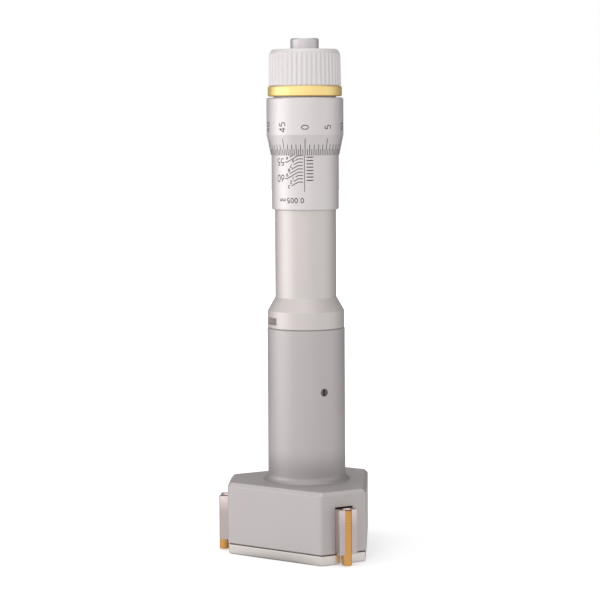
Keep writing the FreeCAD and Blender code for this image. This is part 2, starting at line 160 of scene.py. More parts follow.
# %% Grids, turned shells and plain blocks
def grid_faces(rows, columns, close_rows, close_columns):
    """Quads between neighbouring points of a grid, wrapped round where it closes."""
    i = np.arange(rows if close_rows else rows - 1)[:, None]
    j = np.arange(columns if close_columns else columns - 1)[None, :]
    k, m = (i + 1) % rows, (j + 1) % columns
    quads = np.stack([i * columns + j, i * columns + m, k * columns + m, k * columns + j], axis=-1)
    return quads.reshape(-1, 4)


def turned(corners, closed=True, sides=256, steps=6):
    """Shell of a profile (radius, height, rounding) carried round Z: (r cos t, r sin t, z)."""
    path = rounded_path(corners, closed, steps)
    t = np.arange(sides) * 2.0 * np.pi / sides
    r, z = path[:, :1], path[:, 1:]
    points = np.stack([r * np.cos(t), r * np.sin(t), z + 0 * t], axis=-1)
    return points.reshape(-1, 3), grid_faces(len(path), sides, closed, True).tolist()


def rod(radius, bottom, top, sides, low_edge=0.0, high_edge=0.0):
    """Round bar about Z, its two edges rounded where asked."""
    corners = [(0, bottom, 0), (radius, bottom, low_edge), (radius, top, high_edge), (0, top, 0)]
    return turned(corners, False, sides)


def brick(x_from, x_to, half_width, z_from, z_to):
    """Closed box along +X."""
    x, y, z = np.meshgrid([x_from, x_to], [-half_width, half_width], [z_from, z_to], indexing="ij")
    points = np.stack([x, y, z], axis=-1).reshape(-1, 3)
    faces = [[0, 1, 3, 2], [4, 6, 7, 5], [0, 4, 5, 1], [2, 3, 7, 6], [0, 2, 6, 4], [1, 5, 7, 3]]
    return points, faces


def bearing(shell, angle):
    """Turns a shell drawn along +X to a bearing about Z: 0 faces -Y, and it grows towards +X."""
    a = math.radians(angle - 90.0)
    turn = np.array([[math.cos(a), -math.sin(a), 0], [math.sin(a), math.cos(a), 0], [0, 0, 1]])
    return shell[0] @ turn.T, shell[1]


def laid(shell, height):
    """Lays a shell turned about Z along +X, at a height."""
    x, y, z = shell[0].T
    return np.stack([z, y, height - x], axis=-1), shell[1]


def moved(shell, x=0.0, y=0.0, z=0.0):
    """A shell shifted by x, y and z."""
    return shell[0] + np.array([x, y, z]), shell[1]


def joined(shells):
    """One shell of several, with the faces counted on."""
    points, faces, start = [], [], 0
    for p, f in shells:
        points.append(p)
        faces += [[start + k for k in face] for face in f]
        start += len(p)
    return np.concatenate(points), faces


def at_anvils(shell, offset=0.0):
    """A shell at each of the three anvil bearings."""
    return joined([bearing(shell, ANVIL_BEARING + offset + 120.0 * k) for k in range(3)])


ANVIL_BEARING, BETWEEN_ANVILS = 27.35, 60.0
print("faces of a plain ring:", len(turned([(2, 0, 0.1), (3, 0, 0.1), (3, 1, 0.1), (2, 1, 0.1)])[1]))

# %% [markdown]
# ## From shell to piece
# A shell becomes a Blender object in metres. Its doubles are merged, so poles
# and seams close, and its faces are turned outwards. Holes and slots are cut
# with a Boolean modifier, because a real slot is milled into the turned blank
# in the same way. The modifier is applied at once, so that the object holds
# its final mesh.

# %% Piece maker
SHARP, BEVEL_FROM = math.radians(28.0), math.radians(40.0)
finishes = {}


def mesh_from(name, shell):
    """Mesh in metres with merged doubles and outward faces."""
    mesh = bpy.data.meshes.new(name)
    mesh.from_pydata((shell[0] * MM).tolist(), [], shell[1])
    work = bmesh.new()
    work.from_mesh(mesh)
    bmesh.ops.remove_doubles(work, verts=work.verts, dist=1e-7)
    bmesh.ops.dissolve_degenerate(work, edges=work.edges, dist=1e-8)
    bmesh.ops.recalc_face_normals(work, faces=work.faces)
    work.to_mesh(mesh)
    work.free()
    return mesh


def applied(target):
    """Mesh of an object with its modifiers worked in."""
    ready = target.evaluated_get(bpy.context.evaluated_depsgraph_get())
    return bpy.data.meshes.new_from_object(ready)


def piece(name, shell, body, finish, nodes=(), cuts=None, bevel=0.0):
    """Object on a CAD body, cut by closed shells, bevelled if asked, and shaded smooth up to sharp edges."""
    target = bpy.data.objects.new(name, mesh_from(name, shell))
    bpy.context.scene.collection.objects.link(target)
    tool = None
    if cuts is not None:
        tool = bpy.data.objects.new("tool", mesh_from("tool", cuts))
        bpy.context.scene.collection.objects.link(tool)
        cut = target.modifiers.new("cut", "BOOLEAN")
        cut.operation, cut.solver, cut.object = "DIFFERENCE", "EXACT", tool
    if bevel:
        edge = target.modifiers.new("edge", "BEVEL")
        edge.width, edge.segments, edge.limit_method = bevel * MM, 2, "ANGLE"
        edge.angle_limit = BEVEL_FROM
    if target.modifiers:
        final = applied(target)
        target.modifiers.clear()
        target.data = final
        final.name = name
    if tool:
        bpy.data.objects.remove(tool)
    target.data.shade_smooth()
    target.data.set_sharp_from_angle(angle=SHARP)
    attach(target, body)
    if nodes:
        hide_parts(*nodes)
    finishes.setdefault(finish, []).append(target)
    print(name, "faces:", len(target.data.polygons))
    return target


# %% [markdown]
# ## The head
# The head is one casting-like piece: a six-sided block with a column, ground
# to a soft satin. Its outline is the smallest of six distances, one for each
# side, and near a corner the distance to the corner's rounding circle. The
# outline is carried up the block, in over the chamfer, and then blends into
# the round root of the column. Slots for the anvils and the hole for the set
# screw are cut afterwards.

# %% Outline of the head
SHORT_SIDE, LONG_SIDE, CORNER = 24.2, 18.77, 1.2
SIDE_ANGLES = np.radians(ANVIL_BEARING - 90.0 + 60.0 * np.arange(6))
SIDE_REACH = np.where(np.arange(6) % 2, LONG_SIDE, SHORT_SIDE)


def corner_centres():
    """Centres of the corner roundings, where two sides moved in by the rounding cross."""
    a, b = SIDE_ANGLES, np.roll(SIDE_ANGLES, -1)
    p, q = SIDE_REACH - CORNER, np.roll(SIDE_REACH, -1) - CORNER
    turn = np.sin(b - a)
    return np.stack([(p * np.sin(b) - q * np.sin(a)) / turn, (q * np.cos(a) - p * np.cos(b)) / turn], axis=-1)


def outline_reach(t, inset):
    """Distance from the axis to the outline in direction t, with every side moved in by inset."""
    toward = np.cos(t[:, None] - SIDE_ANGLES[None, :])
    flat = np.where(toward > 0.05, (SIDE_REACH - inset) / np.maximum(toward, 0.05), 1e9).min(axis=1)
    centre = corner_centres()
    c, a = np.linalg.norm(centre, axis=1), np.arctan2(centre[:, 1], centre[:, 0])
    rho = CORNER - inset
    off = c * np.sin(t[:, None] - a)
    hit = c * np.cos(t[:, None] - a) + np.sqrt(np.maximum(rho**2 - off**2, 0.0))
    x = hit * np.cos(t)[:, None] - centre[:, 0]
    y = hit * np.sin(t)[:, None] - centre[:, 1]
    first, last = SIDE_ANGLES, SIDE_ANGLES + np.radians(60.0)
    turn = (np.arctan2(y, x) - first + np.pi) % (2 * np.pi) - np.pi
    round_part = (np.abs(off) <= rho) & (turn >= 0) & (turn <= last - first) & (np.cos(t[:, None] - a) > 0)
    return np.where(round_part.any(axis=1), np.where(round_part, hit, 0).sum(axis=1), flat)


def outline_directions():
    """Directions with one every two degrees and a dense run round each corner."""
    centre = corner_centres()
    runs = [np.arange(0.0, 360.0, 2.0)]
    for k in range(6):
        a = SIDE_ANGLES[k] + np.radians([-2.0, 0.0, 7.5, 15.0, 22.5, 30.0, 37.5, 45.0, 52.5, 60.0, 62.0])
        x, y = centre[k, 0] + CORNER * np.cos(a), centre[k, 1] + CORNER * np.sin(a)
        runs.append(np.degrees(np.arctan2(y, x)) % 360.0)
    t = np.unique(np.round(np.concatenate(runs), 4))
    t = t[np.concatenate([[True], np.diff(t) > 0.05])]
    return np.radians(t)


t_head = outline_directions()


def outline_rows(path):
    """Rows of the outline for a path of (inset, height)."""
    reach = np.stack([outline_reach(t_head, inset) for inset in path[:, 0]])
    z = path[:, 1:] + 0 * t_head
    return np.stack([reach * np.cos(t_head), reach * np.sin(t_head), z], axis=-1)


def round_rows(path):
    """Rows of circles for a path of (radius, height), with the outline's directions."""
    r, z = path[:, :1], path[:, 1:]
    return np.stack([r * np.cos(t_head), r * np.sin(t_head), z + 0 * t_head], axis=-1)


def stacked(rows, closed):
    """Shell of rows that share their directions."""
    points = np.concatenate(rows)
    faces = grid_faces(points.shape[0], points.shape[1], closed, True).tolist()
    return points.reshape(-1, 3), faces


print("directions round the head:", len(t_head))

# %% Head housing
COVER_TOP, BLOCK_TOP, BLOCK_CHAMFER = 3.46, 22.35, 1.05
COLUMN, COLUMN_TOP, COLUMN_ROOT = 12.0, 69.93, 4.5
SPIGOT, SPIGOT_BOTTOM, CHAMBER = 9.0, 46.5, 9.75
BUSH, FLANGE, FLANGE_BOTTOM, CHAMBER_TOP = 5.6, 7.2, 45.0, 32.0
ANVIL_HALF, ANVIL_BOTTOM, ANVIL_TOP, SLOT_GAP, SLOT_ROOM = 3.0, 3.5, 17.25, 0.05, 0.5
GRUB_BEARING, GRUB_HEIGHT, GRUB = 27.2, 50.84, 1.2
SCREW_FROM_AXIS, SCREW = 14.4, 1.0

block_path = rounded_path([
    (0.15, COVER_TOP, 0), (0, COVER_TOP + 0.15, 0.1), (0, BLOCK_TOP - BLOCK_CHAMFER, 0.25),
    (BLOCK_CHAMFER, BLOCK_TOP, 0.25), (1.5, BLOCK_TOP, 0)], closed=False)
column_path = rounded_path([
    (COLUMN + COLUMN_ROOT + 0.4, BLOCK_TOP, 0), (COLUMN, BLOCK_TOP, COLUMN_ROOT),
    (COLUMN, COLUMN_TOP - 0.25, 0.1), (COLUMN - 0.35, COLUMN_TOP, 0.05), (SPIGOT, COLUMN_TOP, 0.1),
    (SPIGOT, SPIGOT_BOTTOM, 0), (FLANGE, SPIGOT_BOTTOM, 0), (FLANGE, FLANGE_BOTTOM, 0),
    (BUSH, FLANGE_BOTTOM, 0), (BUSH, CHAMBER_TOP, 0),
    (CHAMBER, CHAMBER_TOP, 0.2), (CHAMBER, COVER_TOP, 0)], closed=False, steps=12)
head_shell = stacked([outline_rows(block_path), round_rows(column_path)], closed=True)
anvil_slots = at_anvils(brick(4.0, 27.0, ANVIL_HALF + SLOT_GAP, COVER_TOP - 1.0, ANVIL_TOP + SLOT_ROOM))
grub_hole = bearing(laid(rod(GRUB, 8.0, 13.0, 48), GRUB_HEIGHT), GRUB_BEARING)
screw_holes = at_anvils(moved(rod(SCREW, 2, 9.0, 40), SCREW_FROM_AXIS), BETWEEN_ANVILS)
piece("head_block_and_column", head_shell, "head", "head_satin", ["head_housing"],
      joined([anvil_slots, grub_hole, screw_holes]))

# %% [markdown]
# ## The bottom cover
# A ground plate closes the head from below. It is brighter than the block, with
# lines from the grinding wheel. Its edge stands back a little, and at each
# anvil a round notch lets the contact pin move in and out.

# %% Bottom cover
COVER_INSET, PARTING, GROOVE_INSET, RIM_INSET = 0.3, 0.42, 1.9, 3.0
FLAT, WELL, WELL_FLOOR = 8.0, 3.2, 1.8
PIN, PIN_CENTRE, PIN_BOTTOM, PIN_TOP = 1.45, 26.05, 0.15, 16.85
PIN_TRAVEL_IN, NOTCH_GAP, NOTCH_SPARE = 2.5, 0.12, 0.1
SCREW_HEAD, SCREW_RIM, SCREW_NECK = 1.9, 0.3, 1.2


def countersunk(bottom, top, sides, edge=0.0, tip=0.0):
    """Screw with its head down, or the hole for it: a short rim, a cone and the shank."""
    shell = turned([
        (0, bottom, 0), (SCREW_HEAD, bottom, edge), (SCREW_HEAD, SCREW_RIM, edge),
        (SCREW, SCREW_NECK, edge), (SCREW, top, tip), (0, top, 0)], False, sides)
    return at_anvils(moved(shell, SCREW_FROM_AXIS), BETWEEN_ANVILS)


cover_path = rounded_path([
    (RIM_INSET, 0, 0), (COVER_INSET, 0, 0.45), (COVER_INSET, COVER_TOP - PARTING, 0.12),
    (GROOVE_INSET, COVER_TOP - PARTING, 0.05), (GROOVE_INSET, COVER_TOP, 0),
    (RIM_INSET, COVER_TOP, 0)], closed=False)
under = round_rows(np.array([[0.0, 0.0], [FLAT, 0.0]]))
well = round_rows(np.array([[FLAT, COVER_TOP], [WELL, COVER_TOP], [WELL, WELL_FLOOR], [0.0, WELL_FLOOR]]))
notch_end = PIN_CENTRE - PIN_TRAVEL_IN - NOTCH_SPARE
notch = moved(rod(PIN + NOTCH_GAP, -1, 5, 64), notch_end)
cover_cuts = joined([at_anvils(notch), countersunk(-1, 5, 48)])
cover_shell = stacked([under, outline_rows(cover_path), well], closed=False)
piece("ground_cover", cover_shell, "head", "ground_plate", ["bottom_cover"], cover_cuts)

# %% [markdown]
# ## Screws of the head
# Three countersunk screws hold the cover, and a slotted set screw sits in the
# side of the column. Each is a turned shape, and its slot is a plain brick cut
# out of it. No thread is modelled, because the holes hide it.

# %% Cover screws
screw_slot = moved(brick(-2.4, 2.4, 0.25, -0.5, 0.7), SCREW_FROM_AXIS)
piece("countersunk_screws", countersunk(0.1, 9.0, 64, 0.05, 0.1), "head", "black_screw", ["cover_screws"],
      at_anvils(screw_slot, BETWEEN_ANVILS))

# %% Set screw of the head
DOG, DOG_START, GRUB_START, GRUB_SLOT, GRUB_END = 0.8, 8.4, 9.0, 11.05, 11.75
grub_shell = turned([
    (0, DOG_START, 0), (DOG, DOG_START, 0.05), (DOG, GRUB_START, 0), (GRUB, GRUB_START, 0),
    (GRUB, GRUB_END, 0.15), (0, GRUB_END, 0)], False, 64)
grub_slot = moved(brick(0, 2.0, 0.225, -3.0, 3.0), GRUB_SLOT, 0, GRUB_HEIGHT)
piece("slotted_grub", bearing(laid(grub_shell, GRUB_HEIGHT), GRUB_BEARING), "head", "black_screw",
      ["head_set_screw"], bearing(grub_slot, GRUB_BEARING))

# %% [markdown]
# ## The tube and the sleeves
# The tube carries the sleeve. It is turned from one bar: a spigot inside the
# column, a band with two spanner slots, a cone and the long neck. The outer
# sleeve is a thin tube with the millimetre scale.

# %% Body tube
BAND, BAND_TOP, NECK, NECK_START, TUBE_TOP = 11.84, 75.27, 9.45, 79.46, 108.4
TUBE_BORE, UPPER_BUSH, UPPER_FLANGE = 4.8, 75.0, 87.0
SLOT_FLOOR, SLOT_HALF, SLOT_BEARING, SLOT_LOW, SLOT_HIGH = 10.95, 3.9, -69.0, 71.2, 73.4
tube_shell = turned([
    (TUBE_BORE, SPIGOT_BOTTOM, 0.1), (SPIGOT, SPIGOT_BOTTOM, 0.1), (SPIGOT, COLUMN_TOP, 0.02),
    (BAND - 0.35, COLUMN_TOP, 0.05), (BAND, COLUMN_TOP + 0.25, 0.1), (BAND, BAND_TOP, 0.3),
    (NECK, NECK_START, 0.3), (NECK, TUBE_TOP, 0.1), (FLANGE, TUBE_TOP, 0.1), (FLANGE, UPPER_FLANGE, 0.1),
    (BUSH, UPPER_FLANGE, 0.1), (BUSH, UPPER_BUSH, 0.1), (TUBE_BORE, UPPER_BUSH, 0.1)])
spanner = brick(SLOT_FLOOR, 14.0, SLOT_HALF, SLOT_LOW, SLOT_HIGH)
spanner_slots = joined([bearing(spanner, SLOT_BEARING), bearing(spanner, SLOT_BEARING + 180.0)])
piece("turned_tube", tube_shell, "head", "tube_satin", ["body_tube"], spanner_slots)

# %% Outer sleeve
SLEEVE, SLEEVE_BOTTOM, SLEEVE_TOP = 10.33, 106.4, 129.0
sleeve_shell = turned([
    (NECK, SLEEVE_BOTTOM, 0.05), (SLEEVE - 0.3, SLEEVE_BOTTOM, 0.1), (SLEEVE, SLEEVE_BOTTOM + 0.3, 0.15),
    (SLEEVE, SLEEVE_TOP, 0.1), (NECK, SLEEVE_TOP, 0.1)])
piece("scale_sleeve", sleeve_shell, "head", "dull_chrome", ["outer_sleeve"])

# %% [markdown]
# ## The thimble
# The thimble is a cup that turns over the sleeve. Its lower end is bevelled, so
# that the divisions come close to the sleeve and are read without a slant.

# %% Thimble
THIMBLE, THIMBLE_EDGE, BEVEL_TOP, THIMBLE_LIP = 11.8, 123.15, 129.3, 10.5
THIMBLE_ROOF, THIMBLE_TOP, THIMBLE_BORE, THIMBLE_HOLE, THIMBLE_CHAMFER = 138.0, 140.6, 10.37, 3.2, 0.4
thimble_shell = turned([
    (THIMBLE_BORE, THIMBLE_EDGE, 0.02), (THIMBLE_LIP, THIMBLE_EDGE, 0.04), (THIMBLE, BEVEL_TOP, 0.6),
    (THIMBLE, THIMBLE_TOP - THIMBLE_CHAMFER, 0.12), (THIMBLE - THIMBLE_CHAMFER, THIMBLE_TOP, 0.12),
    (THIMBLE_HOLE, THIMBLE_TOP, 0.1), (THIMBLE_HOLE, THIMBLE_ROOF, 0.1), (THIMBLE_BORE, THIMBLE_ROOF, 0.3)])
piece("bevelled_thimble", thimble_shell, "thimble", "dull_chrome", ["thimble"])

# %% [markdown]
# ## The ratchet knob
# The knob is a light alloy cup with straight flutes for the fingers. Its outer
# radius is the smaller of two: the turned outline, and a tapered wall with the
# flutes taken out. A flute is the arc of a round cutter, so its depth falls
# off with the square of the distance from its middle.

# %% Fluted knob
FLUTES, FLUTE_BEARING, FLUTE_DEPTH, FLUTE_RADIUS = 46, -2.8, 0.26, 0.75
RING_BOTTOM, RING_TOP, RING, SKIRT = 141.0, 144.1, 11.37, 10.6
KNOB_BOTTOM, KNOB, KNOB_WAIST, KNOB_SHOULDER, KNOB_TOP = 140.7, 11.13, 10.92, 153.4, 155.25
KNOB_BROW, BROW_HEIGHT, KNOB_CROWN = 10.67, 154.3, 9.95
CAVITY, UNDERCUT, CEILING, SHANK, LIP_GAP = 9.0, 9.6, 153.0, 3.7, 0.22
knob_path = rounded_path([
    (CAVITY, KNOB_BOTTOM, 0.1), (UNDERCUT, KNOB_BOTTOM, 0.05), (UNDERCUT, RING_BOTTOM + 0.05, 0.02),
    (SKIRT, RING_BOTTOM + 0.05, 0.02), (SKIRT, RING_TOP + LIP_GAP, 0.02), (KNOB, RING_TOP + LIP_GAP, 0.16),
    (KNOB_WAIST, KNOB_SHOULDER, 0.5), (KNOB_BROW, BROW_HEIGHT, 0.3), (KNOB_CROWN, KNOB_TOP, 0.3),
    (SHANK + 0.04, KNOB_TOP, 0.1), (SHANK + 0.04, CEILING, 0.1), (CAVITY, CEILING, 0.3)], steps=5)


def finer(path, longest, low, high):
    """Path with extra points, so that no step between two heights is longer than longest."""
    r, z = path.T
    step = np.hypot(np.diff(r), np.diff(z))
    lower, upper = np.minimum(z[1:], z[:-1]), np.maximum(z[1:], z[:-1])
    inside = (lower >= low - 1e-6) & (upper <= high + 1e-6) & (r[1:] > 9.5)
    count = np.where(inside, np.ceil(step / longest), 1).astype(int)
    start = np.repeat(np.arange(len(step)), count)
    share = np.concatenate([np.arange(n) / n for n in count])
    return np.concatenate([path[start] + (path[start + 1] - path[start]) * share[:, None], path[-1:]])


def fluted(path, per_flute=14):
    """Knob shell: the radius is min(profile, taper(z) - max(0, depth - d^2 / (2 R))).

    Here d is the arc from the middle of the nearest flute, and R the cutter's radius.
    """
    count = FLUTES * per_flute
    t = np.arange(count) * 2.0 * np.pi / count + math.radians(FLUTE_BEARING - 90.0)
    r, z = path[:, :1], path[:, 1:]
    turn = (np.arange(count) + per_flute / 2.0) % per_flute - per_flute / 2.0
    arc = turn / per_flute * 2.0 * np.pi * KNOB / FLUTES
    groove = np.maximum(0.0, FLUTE_DEPTH - arc**2 / (2.0 * FLUTE_RADIUS))
    taper = KNOB + (KNOB_WAIST - KNOB) * (z - RING_TOP) / (KNOB_SHOULDER - RING_TOP)
    outside = (r > SKIRT + 0.02) | (z > KNOB_SHOULDER)
    reach = np.where(outside & (z >= RING_TOP - 1e-6) & (r > 9.0), np.minimum(r, taper - groove), r)
    points = np.stack([reach * np.cos(t), reach * np.sin(t), z + 0 * t], axis=-1)
    return points.reshape(-1, 3), grid_faces(len(path), len(t), True, True).tolist()


fine_path = finer(knob_path, 0.45, RING_TOP, KNOB_TOP)
piece("fluted_knob", fluted(fine_path), "ratchet", "blasted_alloy", ["ratchet_knob"])

# %% [markdown]
# ## The ring and the button
# A pale gold ring sits in a step of the knob, with a fine dark gap on either
# side. The button on top is the head of the screw that holds the ratchet. Both
# are plain turned shapes, with small chamfers that catch the light.

# %% Colour ring and button
ring_shell = turned([
    (SKIRT, RING_BOTTOM, 0.05), (RING - 0.3, RING_BOTTOM, 0.1), (RING, RING_BOTTOM + 0.3, 0.12),
    (RING, RING_TOP - 0.3, 0.12), (RING - 0.3, RING_TOP, 0.1), (SKIRT, RING_TOP, 0.05)])
piece("gold_ring", ring_shell, "ratchet", "gold_anodised", ["colour_ring"])
BUTTON, BUTTON_BOTTOM, BUTTON_TOP, BUTTON_CHAMFER = 4.34, 155.3, 158.6, 0.35
STEM, STEM_BOTTOM, STEM_TOP = 2.0, 132.0, 142.0
button_shell = turned([
    (0, STEM_BOTTOM, 0), (STEM, STEM_BOTTOM, 0.2), (STEM, STEM_TOP, 0.05), (SHANK, STEM_TOP, 0.1),
    (SHANK, BUTTON_BOTTOM, 0.05), (BUTTON, BUTTON_BOTTOM, 0.1), (BUTTON, BUTTON_TOP - BUTTON_CHAMFER, 0.12),
    (BUTTON - BUTTON_CHAMFER, BUTTON_TOP, 0.12), (0, BUTTON_TOP, 0)], closed=False, sides=160)
piece("ratchet_button", button_shell, "thimble", "turned_steel", ["ratchet_screw"])

# %% [markdown]
# ## Anvils and contact pins
# Each anvil is a hardened bar with a slanted nose that rides on the cone. A
# round groove in its face holds the contact pin, a hard gold-coated cylinder
# that reaches down past the cover, so that even a shallow bore can be gauged.
# The bar is its plan outline carried straight up, then cut like the real one.

# %% Anvils
NOSE, NOSE_LENGTH, ANVIL_FACE = 3.75, ANVIL_HALF / math.tan(math.radians(60.0)), 27.05
WEDGE_LOW, WEDGE_HIGH, WEDGE_REACH = 8.65, 18.65, 2.5


def anvil_plan():
    """Plan of the bar: pointed nose, straight sides and a round groove at the face."""
    half_open = math.asin((ANVIL_FACE - PIN_CENTRE) / PIN)
    t = np.linspace(np.pi / 2 - half_open, 2 * np.pi - (np.pi / 2 - half_open), 33)
    groove = np.stack([PIN_CENTRE + PIN * np.cos(t), PIN * np.sin(t)], axis=-1)
    ahead = np.array([[NOSE, 0], [NOSE + NOSE_LENGTH, ANVIL_HALF], [ANVIL_FACE, ANVIL_HALF]])
    behind = np.array([[ANVIL_FACE, -ANVIL_HALF], [NOSE + NOSE_LENGTH, -ANVIL_HALF]])
    return np.concatenate([ahead, groove, behind])


def prism(plan, bottom, top):
    """Plan carried straight up, with a flat face at each end."""
    n = len(plan)
    z = np.repeat([bottom, top], n)[:, None]
    points = np.hstack([np.tile(plan, (2, 1)), z])
    sides = grid_faces(2, n, False, True).tolist()
    return points, sides + [list(range(n)), list(range(n, 2 * n))]


def wedge():
    """Cutter above the nose, slanted like the cone: half a millimetre out for each one up."""
    inner, outer = NOSE - WEDGE_REACH, NOSE + WEDGE_REACH
    plan = np.array([[inner, WEDGE_LOW], [outer, WEDGE_HIGH], [inner, WEDGE_HIGH]])
    points, faces = prism(plan, -8.0, 8.0)
    return points[:, [0, 2, 1]], faces


spring_pocket = brick(10.0, 23.5, 1.7, 2.0, 6.9)
anvil_cuts = joined([wedge(), spring_pocket])
pin_shell = moved(rod(PIN, PIN_BOTTOM, PIN_TOP, 72, 0.2, 0.15), PIN_CENTRE)
for k in range(3):
    angle, body = ANVIL_BEARING + 120.0 * k, f"anvil_{k + 1}"
    bar = bearing(prism(anvil_plan(), ANVIL_BOTTOM, ANVIL_TOP), angle)
    piece(f"anvil_bar_{k + 1}", bar, body, "anvil_steel", [f"anvil_{k + 1}"],
          bearing(anvil_cuts, angle), bevel=0.1)
    piece(f"gold_pin_{k + 1}", bearing(pin_shell, angle), body, "gold_carbide", [f"contact_pin_{k + 1}"])

# %% [markdown]
# ## Return springs
# A small coil pushes each anvil back on the cone. It is a round wire carried
# along a helix, with the last part of each end closed up as on a real spring.

# %% Coils
CLOSED_ENDS = 0.055
COIL, WIRE, COIL_START, COIL_END, COIL_HEIGHT = 1.15, 0.42, 10.04, 18.86, ANVIL_BOTTOM + 1.55


def coil(mean, wire, start, end, turns, around=14, per_turn=28):
    """Wire of a helix about Z, with a circle of the wire's radius carried along it.

    Its middle line is (m cos t, m sin t, z(t)), and z grows slower near both ends.
    """
    t = np.linspace(0.0, 2.0 * np.pi * turns, int(per_turn * turns))
    share = t / t[-1]
    ease = share - CLOSED_ENDS * np.sin(2.0 * np.pi * share)
    z = start + wire / 2 + (end - start - wire) * ease
    middle = np.stack([mean * np.cos(t), mean * np.sin(t), z], axis=-1)
    along = np.gradient(middle, axis=0)
    along /= np.linalg.norm(along, axis=1)[:, None]
    out = np.stack([np.cos(t), np.sin(t), 0 * t], axis=-1)
    side = np.cross(along, out)
    a = np.arange(around) * 2.0 * np.pi / around
    ring = out[:, None] * np.cos(a)[None, :, None] + side[:, None] * np.sin(a)[None, :, None]
    points = (middle[:, None] + ring * wire / 2).reshape(-1, 3)
    faces = grid_faces(len(t), around, False, True).tolist()
    last = (len(t) - 1) * around
    return points, faces + [list(range(around)), [last + k for k in range(around)]]


return_coil = laid(coil(COIL, WIRE, COIL_START, COIL_END, 6), COIL_HEIGHT)
for k in range(3):
    angle = ANVIL_BEARING + 120.0 * k
    made = piece(f"return_coil_{k + 1}", bearing(return_coil, angle), "head", "spring_wire",
                 [f"return_spring_{k + 1}"])
    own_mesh(made)
piece("ratchet_coil", coil(6.3, 0.9, 146.0, 153.0, 3.5), "ratchet", "spring_wire", ["ratchet_spring"])

# %% [markdown]
# ## Divisions and numbers
# The marks are etched and filled with dark paint, a few hundredths of a
# millimetre deep. Each mark is a stroke: a path in arc length and height,
# widened to a ribbon and wrapped round the sleeve or the bevel. The digits are
# drawn from arcs and lines, as an engraving machine does with one cutter.

# %% Strokes on a turned surface
INK_UP, INK_DOWN = 0.006, 0.03


def ribbon(path, width):
    """Left and right edges of a path, half a width to each side along its normal."""
    along = np.gradient(path, axis=0)
    along /= np.maximum(np.linalg.norm(along, axis=1), 1e-9)[:, None]
    side = np.stack([-along[:, 1], along[:, 0]], axis=-1) * width / 2.0
    return path + side, path - side


def dense(path, step=0.18):
    """Path with points no further apart than step."""
    path = np.asarray(path, float)
    length = np.hypot(*np.diff(path, axis=0).T)
    s = np.concatenate([[0.0], np.cumsum(length)])
    count = max(2, int(math.ceil(s[-1] / step)) + 1)
    u = np.union1d(np.linspace(0.0, s[-1], count), s)
    return np.stack([np.interp(u, s, path[:, 0]), np.interp(u, s, path[:, 1])], axis=-1)


def wrapped(path, width, reach):
    """Closed ribbon on a turned surface whose radius at height z is reach(z).

    A point at arc x lies at the angle x over the radius that the scale was drawn for.
    """
    left, right = ribbon(path, width)
    edges = []
    for edge, lift in ((left, INK_UP), (right, INK_UP), (right, -INK_DOWN), (left, -INK_DOWN)):
        r = reach(edge[:, 1])
        a = edge[:, 0] / SCALE_RADIUS[reach] - np.pi / 2
        edges.append(np.stack([(r + lift) * np.cos(a), (r + lift) * np.sin(a), edge[:, 1]], axis=-1))
    points = np.stack(edges, axis=1)
    faces = grid_faces(len(path), 4, False, True).tolist()
    last = 4 * (len(path) - 1)
    return points.reshape(-1, 3), faces + [[3, 2, 1, 0], [last, last + 1, last + 2, last + 3]]


def on_sleeve(z):
    """Radius of the sleeve, the same at every height."""
    return SLEEVE + 0.0 * z


def on_thimble(z):
    """Radius of the thimble's outside: the bevel's straight line up to its top, then the cylinder."""
    slope = (THIMBLE - THIMBLE_LIP) * (z - THIMBLE_EDGE) / (BEVEL_TOP - THIMBLE_EDGE)
    return np.minimum(THIMBLE, THIMBLE_LIP + slope)


SCALE_RADIUS = {on_sleeve: SLEEVE, on_thimble: THIMBLE}


# %% Digits from arcs and lines
def bow(x, y, rx, ry, start, end, points=14):
    """Arc of an ellipse between two angles in degrees."""
    t = np.radians(np.linspace(start, end, points))
    return np.stack([x + rx * np.cos(t), y + ry * np.sin(t)], axis=-1)


def run(*parts):
    """One path through points and arcs, in their order."""
    return np.concatenate([np.atleast_2d(np.asarray(p, float)) for p in parts])


# Each sign lies in a box one high, and the number is its width
SIGNS = {
    "0": (0.58, [bow(0.29, 0.5, 0.29, 0.5, 90, 450, 28)]),
    "1": (0.30, [run((0.04, 0.78), (0.24, 1.0), (0.24, 0.0))]),
    "2": (0.58, [run(bow(0.29, 0.70, 0.28, 0.30, 165, -35), (0.02, 0.0), (0.58, 0.0))]),
    "3": (0.56, [run(bow(0.26, 0.75, 0.25, 0.25, 150, -90), bow(0.26, 0.26, 0.29, 0.27, 90, -150))]),
    "4": (0.62, [run((0.62, 0.26), (0.0, 0.26), (0.45, 1.0), (0.45, 0.0))]),
    "5": (0.56, [run((0.50, 1.0), (0.10, 1.0), (0.05, 0.55), bow(0.27, 0.32, 0.28, 0.32, 125, -140, 18))]),
    "6": (0.58, [run((0.46, 0.98), (0.10, 0.52), bow(0.29, 0.30, 0.28, 0.30, 150, -210, 24))]),
    "7": (0.56, [run((0.0, 1.0), (0.56, 1.0), (0.20, 0.0))]),
    "8": (0.56, [bow(0.28, 0.76, 0.22, 0.24, -90, 270, 22), bow(0.28, 0.26, 0.28, 0.26, 90, 450, 22)]),
    "9": (0.58, [run((0.12, 0.02), (0.48, 0.48), bow(0.29, 0.70, 0.28, 0.30, -30, 330, 24))]),
    ".": (0.12, [run((0.02, 0.02), (0.10, 0.02))]),
    "m": (0.80, [run((0.0, 0.0), (0.0, 0.66)),
                 run((0.0, 0.45), bow(0.19, 0.46, 0.19, 0.20, 180, 0, 8), (0.38, 0.0)),
                 run((0.38, 0.45), bow(0.57, 0.46, 0.19, 0.20, 180, 0, 8), (0.76, 0.0))]),
}


